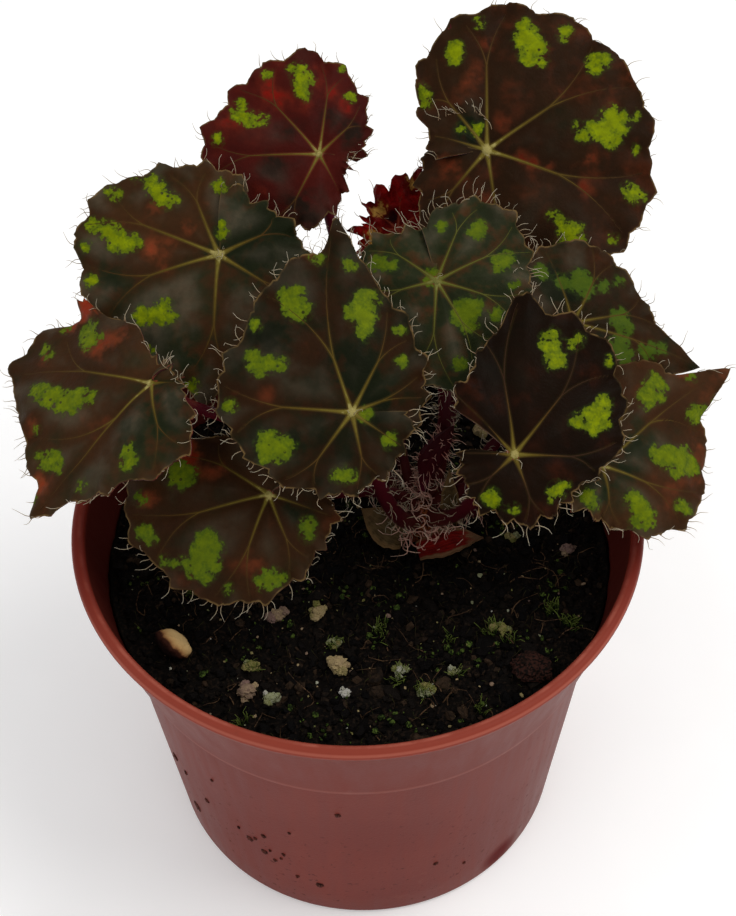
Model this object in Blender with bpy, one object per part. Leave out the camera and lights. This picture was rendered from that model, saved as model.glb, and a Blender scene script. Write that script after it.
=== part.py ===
"""Potted begonia: a pot, its soil, a crown and eleven patterned leaves, each on its own petiole.

The origin is the centre of the pot's flat underside. +Z is up and -Y is the side that is seen first.
Every size below is in millimetres, and the functions that make a mesh turn it into metres.
"""

import math
import random

import bmesh
import bpy
from mathutils import Matrix, Vector, noise

MM = 0.001
GAP = 0.3

# Pot
POT_HEIGHT = 76.5
POT_BASE_RADIUS = 38.6
POT_WALL = 1.2
BAND_HEIGHT = 21.5
BAND_FOOT_RADIUS = 44.1
BAND_STEP = 0.8
LIP_RADIUS = 50.0
LIP_INNER_RADIUS = 47.7
LIP_HEIGHT = 3.2
POT_SEGMENTS = 48
DRAIN_HOLES = 6
DRAIN_HOLE_RADIUS = 3.0
DRAIN_RING_RADIUS = 27.0

# Soil
SOIL_LEVEL = 64.0
SOIL_RELIEF = 1.3
SOIL_RINGS = (6.0, 11.0, 16.0, 21.0, 26.0, 31.0, 35.5, 39.5, 42.8)
SOIL_SECTORS = 36
SOIL_FLOOR_CLEARANCE = 0.4
GRAIN_SEED = 5

# Crown: the short stem that the leaves grow from
CROWN_AT = (11.6, 6.8)
CROWN_RADIUS = 5.3
CROWN_ROOT = 55.0
CROWN_SHOULDER = 66.0
CROWN_SIDES = 14

# Leaves
BLADE_THICKNESS = 0.7
BLADE_SECTORS = 48
BLADE_RINGS = (0.3, 0.66, 1.0)
BLADE_DROOP = 2.6
BLADE_WAVE = 0.8
HUB_DISH = 0.7
HUB_DISH_RADIUS = 3.0
SINUS_HALF_ANGLE = 166.0
SINUS_OVERLAP = 24.0
LOBE_LIFT = 1.15
TOOTH = 0.9
TIP_WIDTH = 11.0
PETIOLE_RADIUS = 1.35
PETIOLE_POINTS = 10


def leaf(number, hub, lean, toward, aim, reach, tips=(), foot=(0.0, 22.0), bow=(0.9, 0.7), droop=1.0, wave=1.0):
    """One leaf as it grew.

    hub is where the veins meet. The blade leans by lean degrees from level, towards the compass
    angle toward, and its middle points along aim. reach lists how far the blade goes from the hub,
    every 30 degrees from one side of its notch round to the other. tips are pointed lobes, each
    its angle and extra length. foot is the petiole's place on the crown, by azimuth and elevation,
    and bow is how far the petiole runs straight out of the crown and straight into the hub.
    """
    return {
        "name": f"leaf_{number:02d}",
        "hub": Vector(hub),
        "lean": math.radians(lean),
        "toward": math.radians(toward),
        "aim": math.radians(aim),
        "reach": reach,
        "tips": tips,
        "foot": foot,
        "bow": bow,
        "droop": droop,
        "wave": wave,
    }


LEAVES = (
    leaf(1, (24.8, 45, 119), 38, -95, 0, (10, 14, 18, 19, 21, 28, 29, 29, 28, 25, 19, 13, 10), foot=(68, 24)),
    leaf(2, (-4.4, 45, 119.3), 39, -80, -177, (8, 11, 14, 18, 18, 17, 20, 16, 16, 12, 7, 5, 6), foot=(108, 24)),
    leaf(3, (-22.1, 26, 113.5), 37, -100, -105, (14, 17, 21, 26, 24, 20, 22, 21, 17, 15, 13, 11, 13), foot=(140, 24)),
    leaf(4, (-33.1, 1.5, 108.4), 30, -150, -149, (4, 4, 5, 21, 28, 26, 27, 18, 16, 12, 7, 4, 4),
         tips=((-57, 4), (2, 4)), foot=(162, 50), bow=(1.0, 1.0)),
    leaf(5, (-0.3, -5, 106.2), 38, -90, 166, (10, 12, 15, 20, 26, 22, 22, 18, 15, 13, 11, 10, 10),
         tips=((-74, 11),), foot=(243, 36)),
    leaf(6, (-14.8, -8, 90.6), 32, -110, -147, (6, 6, 7, 10, 19, 26, 24, 21, 16, 14, 12, 8, 6),
         foot=(208, 62), bow=(1.1, 1.0)),
    leaf(7, (14.5, 18, 113.2), 34, -90, -87, (9, 10, 13, 13, 13, 14, 19, 14, 15, 16, 17, 14, 10), foot=(40, 60)),
    leaf(8, (25.4, -12, 102.6), 38, -80, -29, (14, 9, 10, 10, 11, 11, 12, 18, 22, 24, 21, 15, 14), foot=(306, 36)),
    leaf(9, (40.9, -8, 95), 36, -50, -17, (7, 8, 9, 9, 11, 16, 22, 23, 23, 18, 13, 11, 9),
         tips=((53, 11),), foot=(352, 50)),
    leaf(10, (37.8, 15, 105.4), 36, -65, -20, (10, 10, 11, 12, 13, 17, 20, 16, 14, 13, 13, 12, 10),
         tips=((3, 6),), foot=(24, 24)),
    leaf(11, (9.2, 45, 101.7), 30, -85, 40, (5, 6, 8, 9, 10, 10, 10, 10, 10, 9, 8, 6, 5),
         foot=(128, 62), bow=(0.9, 1.0), wave=1.8),
)

# Perlite grains on the soil: where each lies, and its size
PERLITE = (
    (-14.5, -13.9, 2.4), (-7.5, -13.5, 2.0), (-5.1, -20.2, 1.6), (-4.2, -24.6, 2.5), (-18.9, -24.4, 1.9),
    (-19.6, -29.8, 2.4), (-15.7, -31.0, 1.8), (-3.0, -30.5, 1.4), (6.3, -26.3, 1.7), (10.4, -30.1, 2.0),
    (15.3, -26.7, 1.5), (37.8, -1.2, 1.8), (-2.0, 20.0, 1.8), (-24.0, 12.0, 1.7), (24.0, 28.0, 2.0),
    (4.0, 34.0, 1.8), (-14.0, 30.0, 2.1), (33.0, 14.0, 1.6), (24.1, -18.3, 2.0), (28.0, 2.0, 1.5),
)
PEBBLE_AT = (-32.4, -20.1)
PEBBLE_HALF_SIZE = (3.2, 2.5, 2.0)
BARK_AT = (28.7, -27.0)
BARK_HALF_SIZE = (3.4, 2.7, 1.3)


def clear_scene():
    for old in list(bpy.data.objects):
        bpy.data.objects.remove(old, do_unlink=True)


def material(name, colour, roughness, metallic=0.0):
    finish = bpy.data.materials.new(name)
    finish.use_nodes = True
    shader = finish.node_tree.nodes["Principled BSDF"]
    shader.inputs["Base Color"].default_value = (*colour, 1.0)
    shader.inputs["Roughness"].default_value = roughness
    shader.inputs["Metallic"].default_value = metallic
    return finish


def new_solid(name, mesh_source, finish, smooth_angle=40.0):
    """A mesh object from a bmesh in millimetres."""
    mesh = bpy.data.meshes.new(name)
    bmesh.ops.scale(mesh_source, vec=(MM, MM, MM), verts=mesh_source.verts)
    mesh_source.to_mesh(mesh)
    mesh_source.free()
    mesh.materials.append(finish)
    mesh.shade_smooth()
    mesh.set_sharp_from_angle(angle=math.radians(smooth_angle))
    solid = bpy.data.objects.new(name, mesh)
    bpy.context.scene.collection.objects.link(solid)
    return solid


def smooth_step(low, high, value):
    share = min(max((value - low) / (high - low), 0.0), 1.0)
    return share * share * (3.0 - 2.0 * share)


def turned(profile, segments):
    """The closed (radius, height) outline turned once round the Z axis."""
    mesh = bmesh.new()
    rings = []
    for radius, height in profile:
        if radius == 0.0:
            rings.append([mesh.verts.new((0.0, 0.0, height))])
            continue
        ring = []
        for step in range(segments):
            angle = math.tau * step / segments
            ring.append(mesh.verts.new((radius * math.cos(angle), radius * math.sin(angle), height)))
        rings.append(ring)
    for lower, upper in zip(rings, rings[1:]):
        for step in range(segments):
            after = (step + 1) % segments
            if len(lower) == 1:
                mesh.faces.new((lower[0], upper[after], upper[step]))
            elif len(upper) == 1:
                mesh.faces.new((lower[step], lower[after], upper[0]))
            else:
                mesh.faces.new((lower[step], lower[after], upper[after], upper[step]))
    bmesh.ops.recalc_face_normals(mesh, faces=mesh.faces)
    return mesh


def pot_profile():
    band_foot = POT_HEIGHT - BAND_HEIGHT
    lip_foot = POT_HEIGHT - LIP_HEIGHT
    band_top_radius = LIP_RADIUS - 1.0
    lip_middle = (LIP_RADIUS + LIP_INNER_RADIUS) / 2.0
    lip_half = (LIP_RADIUS - LIP_INNER_RADIUS) / 2.0
    lip = []
    for degrees in (-20, 25, 65, 115, 155):
        angle = math.radians(degrees)
        lip.append((lip_middle + lip_half * math.cos(angle), POT_HEIGHT - lip_half * (1.0 - math.sin(angle))))
    outside = [
        (0.0, 0.0),
        (POT_BASE_RADIUS - 1.0, 0.0),
        (POT_BASE_RADIUS, 1.0),
        (BAND_FOOT_RADIUS - BAND_STEP, band_foot - BAND_STEP),
        (BAND_FOOT_RADIUS, band_foot),
        (band_top_radius, lip_foot),
    ]
    inside = [
        (band_top_radius - POT_WALL - 0.4, lip_foot),
        (BAND_FOOT_RADIUS - POT_WALL, band_foot),
        (POT_BASE_RADIUS - POT_WALL, POT_WALL + 1.0),
        (POT_BASE_RADIUS - POT_WALL - 1.0, POT_WALL),
        (0.0, POT_WALL),
    ]
    return outside + lip + inside


def make_pot(finish):
    pot = new_solid("pot", turned(pot_profile(), POT_SEGMENTS), finish, smooth_angle=30.0)
    holes = bmesh.new()
    for index in range(DRAIN_HOLES):
        angle = math.tau * (index + 0.5) / DRAIN_HOLES
        place = Vector((DRAIN_RING_RADIUS * math.cos(angle), DRAIN_RING_RADIUS * math.sin(angle), POT_WALL / 2.0))
        bmesh.ops.create_cone(
            holes, cap_ends=True, segments=12, radius1=DRAIN_HOLE_RADIUS, radius2=DRAIN_HOLE_RADIUS,
            depth=POT_WALL * 4.0, matrix=Matrix.Translation(place),
        )
    cutter = new_solid("drain_hole_cutter", holes, finish)
    cut = pot.modifiers.new("drain holes", "BOOLEAN")
    cut.operation = "DIFFERENCE"
    cut.object = cutter
    apply_modifiers(pot)
    bpy.data.objects.remove(cutter, do_unlink=True)
    return pot


def apply_modifiers(solid):
    """Gives the object the mesh that its modifiers make, and drops them."""
    graph = bpy.context.evaluated_depsgraph_get()
    mesh = bpy.data.meshes.new_from_object(solid.evaluated_get(graph))
    solid.modifiers.clear()
    solid.data = mesh


def soil_height(x, y):
    """The crumbly surface, flat where the crown, the pebble and the bark sit."""
    coarse = noise.noise(Vector((x * 0.13, y * 0.13, 3.0)))
    fine = noise.noise(Vector((x * 0.37, y * 0.37, 7.0)))
    bumps = SOIL_RELIEF * (coarse + 0.5 * fine)
    for (seat_x, seat_y), seat_radius in ((CROWN_AT, 9.0), (PEBBLE_AT, 4.5), (BARK_AT, 5.0)):
        away = math.hypot(x - seat_x, y - seat_y)
        bumps *= smooth_step(seat_radius, seat_radius + 5.0, away)
    return SOIL_LEVEL + bumps


def make_soil(finish):
    floor = POT_WALL + SOIL_FLOOR_CLEARANCE
    floor_radius = POT_BASE_RADIUS - POT_WALL - 1.0 - GAP
    band_foot = POT_HEIGHT - BAND_HEIGHT
    band_radius = BAND_FOOT_RADIUS - POT_WALL - GAP - 0.2
    top_radius = band_radius + 2.0
    mesh = bmesh.new()

    def ring(radius, height_at):
        made = []
        for step in range(SOIL_SECTORS):
            angle = math.tau * step / SOIL_SECTORS
            x = radius * math.cos(angle)
            y = radius * math.sin(angle)
            made.append(mesh.verts.new((x, y, height_at(x, y))))
        return made

    rings = [ring(radius, soil_height) for radius in SOIL_RINGS]
    rings.append(ring(top_radius, lambda x, y: SOIL_LEVEL - 0.6))
    rings.append(ring(band_radius, lambda x, y: band_foot))
    rings.append(ring(floor_radius, lambda x, y: floor))
    for inner, outer in zip(rings, rings[1:]):
        for step in range(SOIL_SECTORS):
            after = (step + 1) % SOIL_SECTORS
            mesh.faces.new((inner[step], outer[step], outer[after], inner[after]))
    centre = mesh.verts.new((0.0, 0.0, soil_height(0.0, 0.0)))
    under = mesh.verts.new((0.0, 0.0, floor))
    for step in range(SOIL_SECTORS):
        after = (step + 1) % SOIL_SECTORS
        mesh.faces.new((centre, rings[0][step], rings[0][after]))
        mesh.faces.new((under, rings[-1][after], rings[-1][step]))
    bmesh.ops.triangulate(mesh, faces=mesh.faces)
    bmesh.ops.recalc_face_normals(mesh, faces=mesh.faces)
    soil = new_solid("soil", mesh, finish)
    add_grains(soil, finish)
    cut_crown_hole(soil, finish)
    return soil


def add_grains(soil, finish):
    """Perlite grains, sunk by a third in the soil and fused to it."""
    draw = random.Random(GRAIN_SEED)
    grains = bpy.data.collections.new("grains")
    bpy.context.scene.collection.children.link(grains)
    for index, (x, y, size) in enumerate(PERLITE):
        grain = bmesh.new()
        bmesh.ops.create_icosphere(grain, subdivisions=1, radius=size)
        for vertex in grain.verts:
            vertex.co *= draw.uniform(0.8, 1.15)
            vertex.co.z *= 0.8
        bmesh.ops.translate(grain, vec=(x, y, soil_height(x, y) + size * 0.3), verts=grain.verts)
        made = new_solid(f"grain_{index:02d}", grain, finish)
        bpy.context.scene.collection.objects.unlink(made)
        grains.objects.link(made)
    join = soil.modifiers.new("grains", "BOOLEAN")
    join.operation = "UNION"
    join.operand_type = "COLLECTION"
    join.collection = grains
    apply_modifiers(soil)
    for made in list(grains.objects):
        bpy.data.objects.remove(made, do_unlink=True)
    bpy.data.collections.remove(grains)


def cut_crown_hole(soil, finish):
    hole = bmesh.new()
    depth = 30.0
    bottom = CROWN_ROOT - GAP
    place = Matrix.Translation((*CROWN_AT, bottom + depth / 2.0))
    bmesh.ops.create_cone(
        hole, cap_ends=True, segments=CROWN_SIDES, radius1=CROWN_RADIUS + GAP, radius2=CROWN_RADIUS + GAP,
        depth=depth, matrix=place,
    )
    cutter = new_solid("crown_hole_cutter", hole, finish)
    cut = soil.modifiers.new("crown hole", "BOOLEAN")
    cut.operation = "DIFFERENCE"
    cut.object = cutter
    apply_modifiers(soil)
    bpy.data.objects.remove(cutter, do_unlink=True)


def make_crown(finish):
    """A stub with a domed head, standing in a plain hole in the soil."""
    profile = [(0.0, CROWN_ROOT), (CROWN_RADIUS - 1.5, CROWN_ROOT), (CROWN_RADIUS - 0.2, CROWN_ROOT + 3.0)]
    for degrees in (0, 25, 50, 72):
        angle = math.radians(degrees)
        profile.append((CROWN_RADIUS * math.cos(angle), CROWN_SHOULDER + CROWN_RADIUS * math.sin(angle)))
    profile.append((0.0, CROWN_SHOULDER + CROWN_RADIUS))
    mesh = turned(profile, CROWN_SIDES)
    bmesh.ops.translate(mesh, vec=(*CROWN_AT, 0.0), verts=mesh.verts)
    return new_solid("crown", mesh, finish)


def blade_axes(leaf_spec):
    """The blade's own directions: along its middle, to its left, and out of its upper face."""
    lean = leaf_spec["lean"]
    toward = leaf_spec["toward"]
    normal = Vector((math.sin(lean) * math.cos(toward), math.sin(lean) * math.sin(toward), math.cos(lean)))
    level = Vector((math.cos(leaf_spec["aim"]), math.sin(leaf_spec["aim"]), 0.0))
    along = (level - normal * level.dot(normal)).normalized()
    return along, normal.cross(along), normal


def blade_reach(leaf_spec, turn):
    """How far the margin is from the hub, for turn from -1 at one side of the notch to 1 at the other."""
    values = leaf_spec["reach"]
    place = (turn + 1.0) / 2.0 * (len(values) - 1)
    index = min(int(place), len(values) - 2)
    share = place - index
    before = values[max(index - 1, 0)]
    after = values[min(index + 2, len(values) - 1)]
    low = values[index]
    high = values[index + 1]
    bend_low = (high - before) / 2.0
    bend_high = (after - low) / 2.0
    cube = share ** 3
    square = share ** 2
    reach = (
        (2 * cube - 3 * square + 1) * low + (cube - 2 * square + share) * bend_low
        + (3 * square - 2 * cube) * high + (cube - square) * bend_high
    )
    for angle, extra in leaf_spec["tips"]:
        off = abs(turn * 180.0 - angle) / TIP_WIDTH
        reach += extra * max(1.0 - off, 0.0) ** 1.4
    return reach * (1.0 - 0.12 * smooth_step(0.93, 1.0, abs(turn)))


def blade_height(leaf_spec, turn, share, radius):
    """How far the upper face stands off the blade's plane."""
    angle = turn * math.pi
    dish = -HUB_DISH * math.exp(-((radius / HUB_DISH_RADIUS) ** 2))
    droop = -leaf_spec["droop"] * BLADE_DROOP * share ** 2 * (radius / (radius + 6.0))
    wave = leaf_spec["wave"] * BLADE_WAVE * share ** 2 * math.sin(5.0 * angle + leaf_spec["hub"].x)
    side = 1.0 if turn > 0.0 else -1.0
    lift = side * LOBE_LIFT * smooth_step(0.7, 1.0, abs(turn)) * smooth_step(2.0, 8.0, radius)
    return dish + droop + wave + lift


def blade_point(leaf_spec, turn, share, tooth=0.0):
    reach = blade_reach(leaf_spec, turn) + tooth
    radius = reach * share
    half_angle = SINUS_HALF_ANGLE + SINUS_OVERLAP * smooth_step(4.0, 15.0, radius)
    angle = math.radians(half_angle) * turn
    height = blade_height(leaf_spec, turn, share, radius)
    along, left, normal = blade_axes(leaf_spec)
    return leaf_spec["hub"] + radius * (math.cos(angle) * along + math.sin(angle) * left) + height * normal


def make_blade(leaf_spec, finish):
    """A sheet with a toothed margin and a notch where its two back lobes lap over each other."""
    mesh = bmesh.new()
    normal = blade_axes(leaf_spec)[2]
    top = []
    for share in BLADE_RINGS:
        row = []
        for column in range(BLADE_SECTORS + 1):
            turn = 2.0 * column / BLADE_SECTORS - 1.0
            tooth = (TOOTH if column % 3 == 1 else -TOOTH / 3.0) if share == BLADE_RINGS[-1] else 0.0
            row.append(mesh.verts.new(blade_point(leaf_spec, turn, share, tooth)))
        top.append(row)
    hub = mesh.verts.new(blade_point(leaf_spec, 0.0, 0.0))
    down = -BLADE_THICKNESS * normal
    bottom = [[mesh.verts.new(vertex.co + down) for vertex in row] for row in top]
    hub_below = mesh.verts.new(hub.co + down)

    def both_faces(a, b, c):
        """One triangle of the upper face, and the same one of the lower face."""
        mesh.faces.new((a[0], b[0], c[0]))
        mesh.faces.new((c[1], b[1], a[1]))

    def pair(ring, column):
        return top[ring][column], bottom[ring][column]

    for column in range(BLADE_SECTORS):
        both_faces((hub, hub_below), pair(0, column), pair(0, column + 1))
        for ring in range(len(BLADE_RINGS) - 1):
            both_faces(pair(ring, column), pair(ring + 1, column), pair(ring + 1, column + 1))
            both_faces(pair(ring, column), pair(ring + 1, column + 1), pair(ring, column + 1))
    edge = [(hub, hub_below)]
    edge += [pair(ring, 0) for ring in range(len(BLADE_RINGS))]
    edge += [pair(len(BLADE_RINGS) - 1, column) for column in range(1, BLADE_SECTORS + 1)]
    edge += [pair(ring, BLADE_SECTORS) for ring in reversed(range(len(BLADE_RINGS) - 1))]
    for (upper, lower), (next_upper, next_lower) in zip(edge, edge[1:] + edge[:1]):
        mesh.faces.new((upper, lower, next_lower))
        mesh.faces.new((upper, next_lower, next_upper))
    bmesh.ops.recalc_face_normals(mesh, faces=mesh.faces)
    return new_solid(leaf_spec["name"] + "_blade", mesh, finish)


def petiole_route(leaf_spec):
    """A smooth curve from the crown's head to just under the blade's hub."""
    azimuth, elevation = (math.radians(angle) for angle in leaf_spec["foot"])
    out = Vector((
        math.cos(elevation) * math.cos(azimuth),
        math.cos(elevation) * math.sin(azimuth),
        math.sin(elevation),
    ))
    head = Vector((*CROWN_AT, CROWN_SHOULDER))
    start = head + out * (CROWN_RADIUS + GAP)
    normal = blade_axes(leaf_spec)[2]
    end = leaf_spec["hub"] - normal * (HUB_DISH + BLADE_THICKNESS + GAP)
    span = (end - start).length
    leave, arrive = leaf_spec["bow"]
    points = []
    for step in range(PETIOLE_POINTS):
        share = step / (PETIOLE_POINTS - 1)
        cube = share ** 3
        square = share ** 2
        points.append(
            (2 * cube - 3 * square + 1) * start + (cube - 2 * square + share) * span * leave * out
            + (3 * square - 2 * cube) * end + (cube - square) * span * arrive * normal
        )
    return points


def tube(name, points, radii, finish):
    """A round stalk along the points, with flat ends."""
    curve = bpy.data.curves.new(name, "CURVE")
    curve.dimensions = "3D"
    curve.bevel_depth = MM
    curve.bevel_resolution = 2
    curve.use_fill_caps = True
    spline = curve.splines.new("POLY")
    spline.points.add(len(points) - 1)
    for spot, place, radius in zip(spline.points, points, radii):
        spot.co = (*(place * MM), 1.0)
        spot.radius = radius
    curve.materials.append(finish)
    stalk = bpy.data.objects.new(name, curve)
    bpy.context.scene.collection.objects.link(stalk)
    return stalk


def make_petiole(leaf_spec, finish):
    points = petiole_route(leaf_spec)
    size = sum(leaf_spec["reach"]) / 200.0
    radii = []
    for step in range(len(points)):
        share = step / (len(points) - 1)
        radii.append(PETIOLE_RADIUS * min(size, 1.15) * (1.1 - 0.3 * share))
    return tube(leaf_spec["name"] + "_petiole", points, radii, finish)


def strap(name, base, tip, face, width, sag, fold, finish):
    """A narrow pointed sheet, such as a stipule: from base to tip, sagging and folded along its middle."""
    steps = 6
    mesh = bmesh.new()
    line = tip - base
    across = line.cross(face).normalized()
    up = across.cross(line).normalized()
    rows = []
    for step in range(steps + 1):
        share = step / steps
        half = 0.5 * width * (0.55 + 0.45 * math.sin(math.pi * share * 0.9)) * (1.0 - share ** 3)
        half = max(half, 0.25)
        middle = base + line * share + up * (sag * math.sin(math.pi * share))
        rise = up * (fold * half)
        top = [middle - across * half + rise, middle, middle + across * half + rise]
        row = [mesh.verts.new(place) for place in top]
        row += [mesh.verts.new(place - up * BLADE_THICKNESS) for place in top]
        rows.append(row)
    for row, after in zip(rows, rows[1:]):
        for side in (0, 1):
            mesh.faces.new((row[side], after[side], after[side + 1]))
            mesh.faces.new((row[side], after[side + 1], row[side + 1]))
            low = side + 3
            mesh.faces.new((after[low + 1], after[low], row[low]))
            mesh.faces.new((row[low + 1], after[low + 1], row[low]))
        for top, low in ((0, 3), (2, 5)):
            mesh.faces.new((row[top], row[low], after[low], after[top]))
    for row in (rows[0], rows[-1]):
        for side in (0, 1):
            mesh.faces.new((row[side], row[side + 1], row[side + 4], row[side + 3]))
    bmesh.ops.recalc_face_normals(mesh, faces=mesh.faces)
    return new_solid(name, mesh, finish)


def make_stipules(papery, red):
    """The bracts round the crown: two dry papery ones, and a bright red one that lies in front."""
    x, y = CROWN_AT
    up = Vector((0.0, 0.0, 1.0))
    front = Vector((0.0, -1.0, 0.3))
    strap("stipule_left", Vector((x - 4.6, y - 4.6, 66.6)), Vector((x - 10.6, y - 2.6, 71.0)),
          Vector((0.2, -0.8, 0.6)), 5.4, 0.8, 0.25, papery)
    strap("stipule_back", Vector((x + 8.6, y + 0.6, 64.9)), Vector((x + 9.0, y + 1.6, 76.6)), front, 3.0, 0.6, 0.3, papery)
    strap("stipule_red", Vector((x - 0.5, y - 8.6, 65.1)), Vector((x + 10.6, y - 6.4, 66.4)), up, 5.4, 1.0, 0.2, red)


FURLED_OUTLINE = ((0.0, 0.34), (0.18, 0.38), (0.36, 0.78), (0.58, 1.0), (0.8, 0.7), (0.96, 0.2))
FURLED_SIDES = 8


def make_furled_leaf(name, base, tip, radius, finish):
    """A young leaf that is still rolled up: a ridged spindle from base to tip."""
    line = tip - base
    across = line.cross(Vector((0.0, 1.0, 0.0))).normalized()
    depth = line.cross(across).normalized()
    mesh = bmesh.new()
    rings = []
    for share, swell in FURLED_OUTLINE:
        ring = []
        for side in range(FURLED_SIDES):
            angle = math.tau * side / FURLED_SIDES
            ridge = 1.15 if side % 2 else 0.85
            flat = across * math.cos(angle) + depth * (0.7 * math.sin(angle))
            ring.append(mesh.verts.new(base + line * share + flat * (radius * swell * ridge)))
        rings.append(ring)
    for ring, after in zip(rings, rings[1:]):
        for side in range(FURLED_SIDES):
            beside = (side + 1) % FURLED_SIDES
            mesh.faces.new((ring[side], ring[beside], after[beside]))
            mesh.faces.new((ring[side], after[beside], after[side]))
    mesh.faces.new(rings[0])
    mesh.faces.new(rings[-1])
    bmesh.ops.recalc_face_normals(mesh, faces=mesh.faces)
    return new_solid(name, mesh, finish)


def make_furled_leaves(finish):
    """One on top of the crown, leaning back to the right, and one low down on its right."""
    x, y = CROWN_AT
    top = CROWN_SHOULDER + CROWN_RADIUS + GAP + 0.4
    make_furled_leaf("furled_leaf_tall", Vector((x, y, top)), Vector((x + 5.6, y + 3.6, top + 13.0)), 2.2, finish)
    make_furled_leaf("furled_leaf_low", Vector((x + 5.6, y - 2.4, 66.8)), Vector((x + 12.6, y - 0.6, 68.6)), 1.9, finish)


def make_lump(name, place, half_size, turn, finish, seed):
    """A small stone or chip with a flat underside, resting on a flat spot of the soil."""
    draw = random.Random(seed)
    mesh = bmesh.new()
    bmesh.ops.create_icosphere(mesh, subdivisions=2, radius=1.0)
    rest = -0.72
    for vertex in mesh.verts:
        vertex.co *= draw.uniform(0.94, 1.06)
        vertex.co.z = max(vertex.co.z, rest)
        vertex.co = Vector((vertex.co.x * half_size[0], vertex.co.y * half_size[1], vertex.co.z * half_size[2]))
    seat = SOIL_LEVEL + GAP - rest * half_size[2]
    bmesh.ops.transform(
        mesh, matrix=Matrix.Translation((*place, seat)) @ Matrix.Rotation(math.radians(turn), 4, "Z"),
        verts=mesh.verts,
    )
    return new_solid(name, mesh, finish)


def main():
    clear_scene()
    terracotta = material("pot plastic", (0.19, 0.05, 0.04), 0.45)
    earth = material("soil", (0.012, 0.009, 0.007), 0.95)
    stem = material("crown", (0.10, 0.03, 0.02), 0.7)
    dark_leaf = material("leaf", (0.035, 0.022, 0.014), 0.5)
    red_leaf = material("young leaf", (0.17, 0.01, 0.015), 0.5)
    stalk = material("petiole", (0.12, 0.015, 0.015), 0.5)
    papery = material("stipule", (0.45, 0.28, 0.18), 0.7)
    stone = material("pebble", (0.38, 0.27, 0.18), 0.8)
    bark = material("bark", (0.06, 0.03, 0.02), 0.9)
    make_pot(terracotta)
    make_soil(earth)
    make_crown(stem)
    for leaf_spec in LEAVES:
        make_blade(leaf_spec, red_leaf if leaf_spec["name"] == "leaf_11" else dark_leaf)
        make_petiole(leaf_spec, stalk)
    make_stipules(papery, red_leaf)
    make_furled_leaves(red_leaf)
    make_lump("pebble", PEBBLE_AT, PEBBLE_HALF_SIZE, 20.0, stone, 2)
    make_lump("bark_chip", BARK_AT, BARK_HALF_SIZE, -15.0, bark, 4)


main()
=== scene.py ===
# %% [markdown]
# Potted patterned begonia.
# This lesson dresses the plain CAD model of a small begonia in a plastic pot. The CAD solids give
# every size and place. Here each of them gets a finer mesh, and the plant gets what a solid can't
# hold: veins, ragged lime blotches, hairs, crumbly soil and small stones.

# %% Load the frame
import math
import random

import bmesh
import bpy
import numpy as np
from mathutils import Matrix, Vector, noise


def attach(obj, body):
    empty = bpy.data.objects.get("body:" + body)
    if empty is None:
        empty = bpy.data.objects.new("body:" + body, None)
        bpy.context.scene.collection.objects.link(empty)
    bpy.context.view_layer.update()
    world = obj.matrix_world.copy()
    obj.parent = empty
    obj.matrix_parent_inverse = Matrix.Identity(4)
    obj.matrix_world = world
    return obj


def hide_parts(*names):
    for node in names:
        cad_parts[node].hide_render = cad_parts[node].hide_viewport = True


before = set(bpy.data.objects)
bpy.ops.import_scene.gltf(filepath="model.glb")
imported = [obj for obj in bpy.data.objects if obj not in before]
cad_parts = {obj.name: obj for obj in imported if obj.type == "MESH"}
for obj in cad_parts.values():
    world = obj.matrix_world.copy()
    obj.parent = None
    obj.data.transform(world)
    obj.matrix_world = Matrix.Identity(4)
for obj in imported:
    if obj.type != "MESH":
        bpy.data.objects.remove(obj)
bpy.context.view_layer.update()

# %% [markdown]
# Sizes and colours.
# Blender works in metres, but a leaf is easier to think about in millimetres, so every size below
# is in millimetres and MM turns it into metres at the last moment. A colour is written as the three
# numbers of 0 to 255 that a painter's chart gives. Shaders want linear light, so paint() converts it.

# %% Units, colours and the shared curve
MM = 0.001
CHART_KNEE = 0.04045


def paint(red, green, blue):
    """A colour of 0 to 255 as the linear colour that a shader takes."""
    linear = []
    for value in (red, green, blue):
        share = value / 255.0
        linear.append(share / 12.92 if share <= CHART_KNEE else ((share + 0.055) / 1.055) ** 2.4)
    return (*linear, 1.0)


def smooth_step(low, high, value):
    """0 below low, 1 above high, and a soft rise between them."""
    share = np.clip((value - low) / (high - low), 0.0, 1.0)
    return share * share * (3.0 - 2.0 * share)


print("a chart grey of 128 is", round(paint(128, 128, 128)[0], 3), "in linear light")

# %% [markdown]
# Camera and light.
# The plant was seen from the front and from well above, so the camera looks down at about 48
# degrees. One large soft lamp stands above and to the right, a weaker one to the left, and a pale
# sky fills the shadows. Small lamps would draw hard shadows that a room by a window doesn't have.
# The picture is drawn without a film curve, so a leaf colour comes out as it is painted.

# %% Camera and lamps
CAMERA_AT = (0.0, -180.58, 291.16)
CAMERA_RIGHT = (0.9993788, -0.0308369, -0.0170616)
CAMERA_UP = (0.0343541, 0.7444242, 0.6668226)
CAMERA_FORWARD = (0.0078617, 0.6669945, -0.7450211)
FOCAL_PIXELS = 1600.0
PICTURE_HEIGHT = 916.0
FILM_WIDTH = 36.0
LAMPS_LOOK_AT = Vector((0.0, 0.0, 0.08))
SKY_STRENGTH = 0.66


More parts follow.
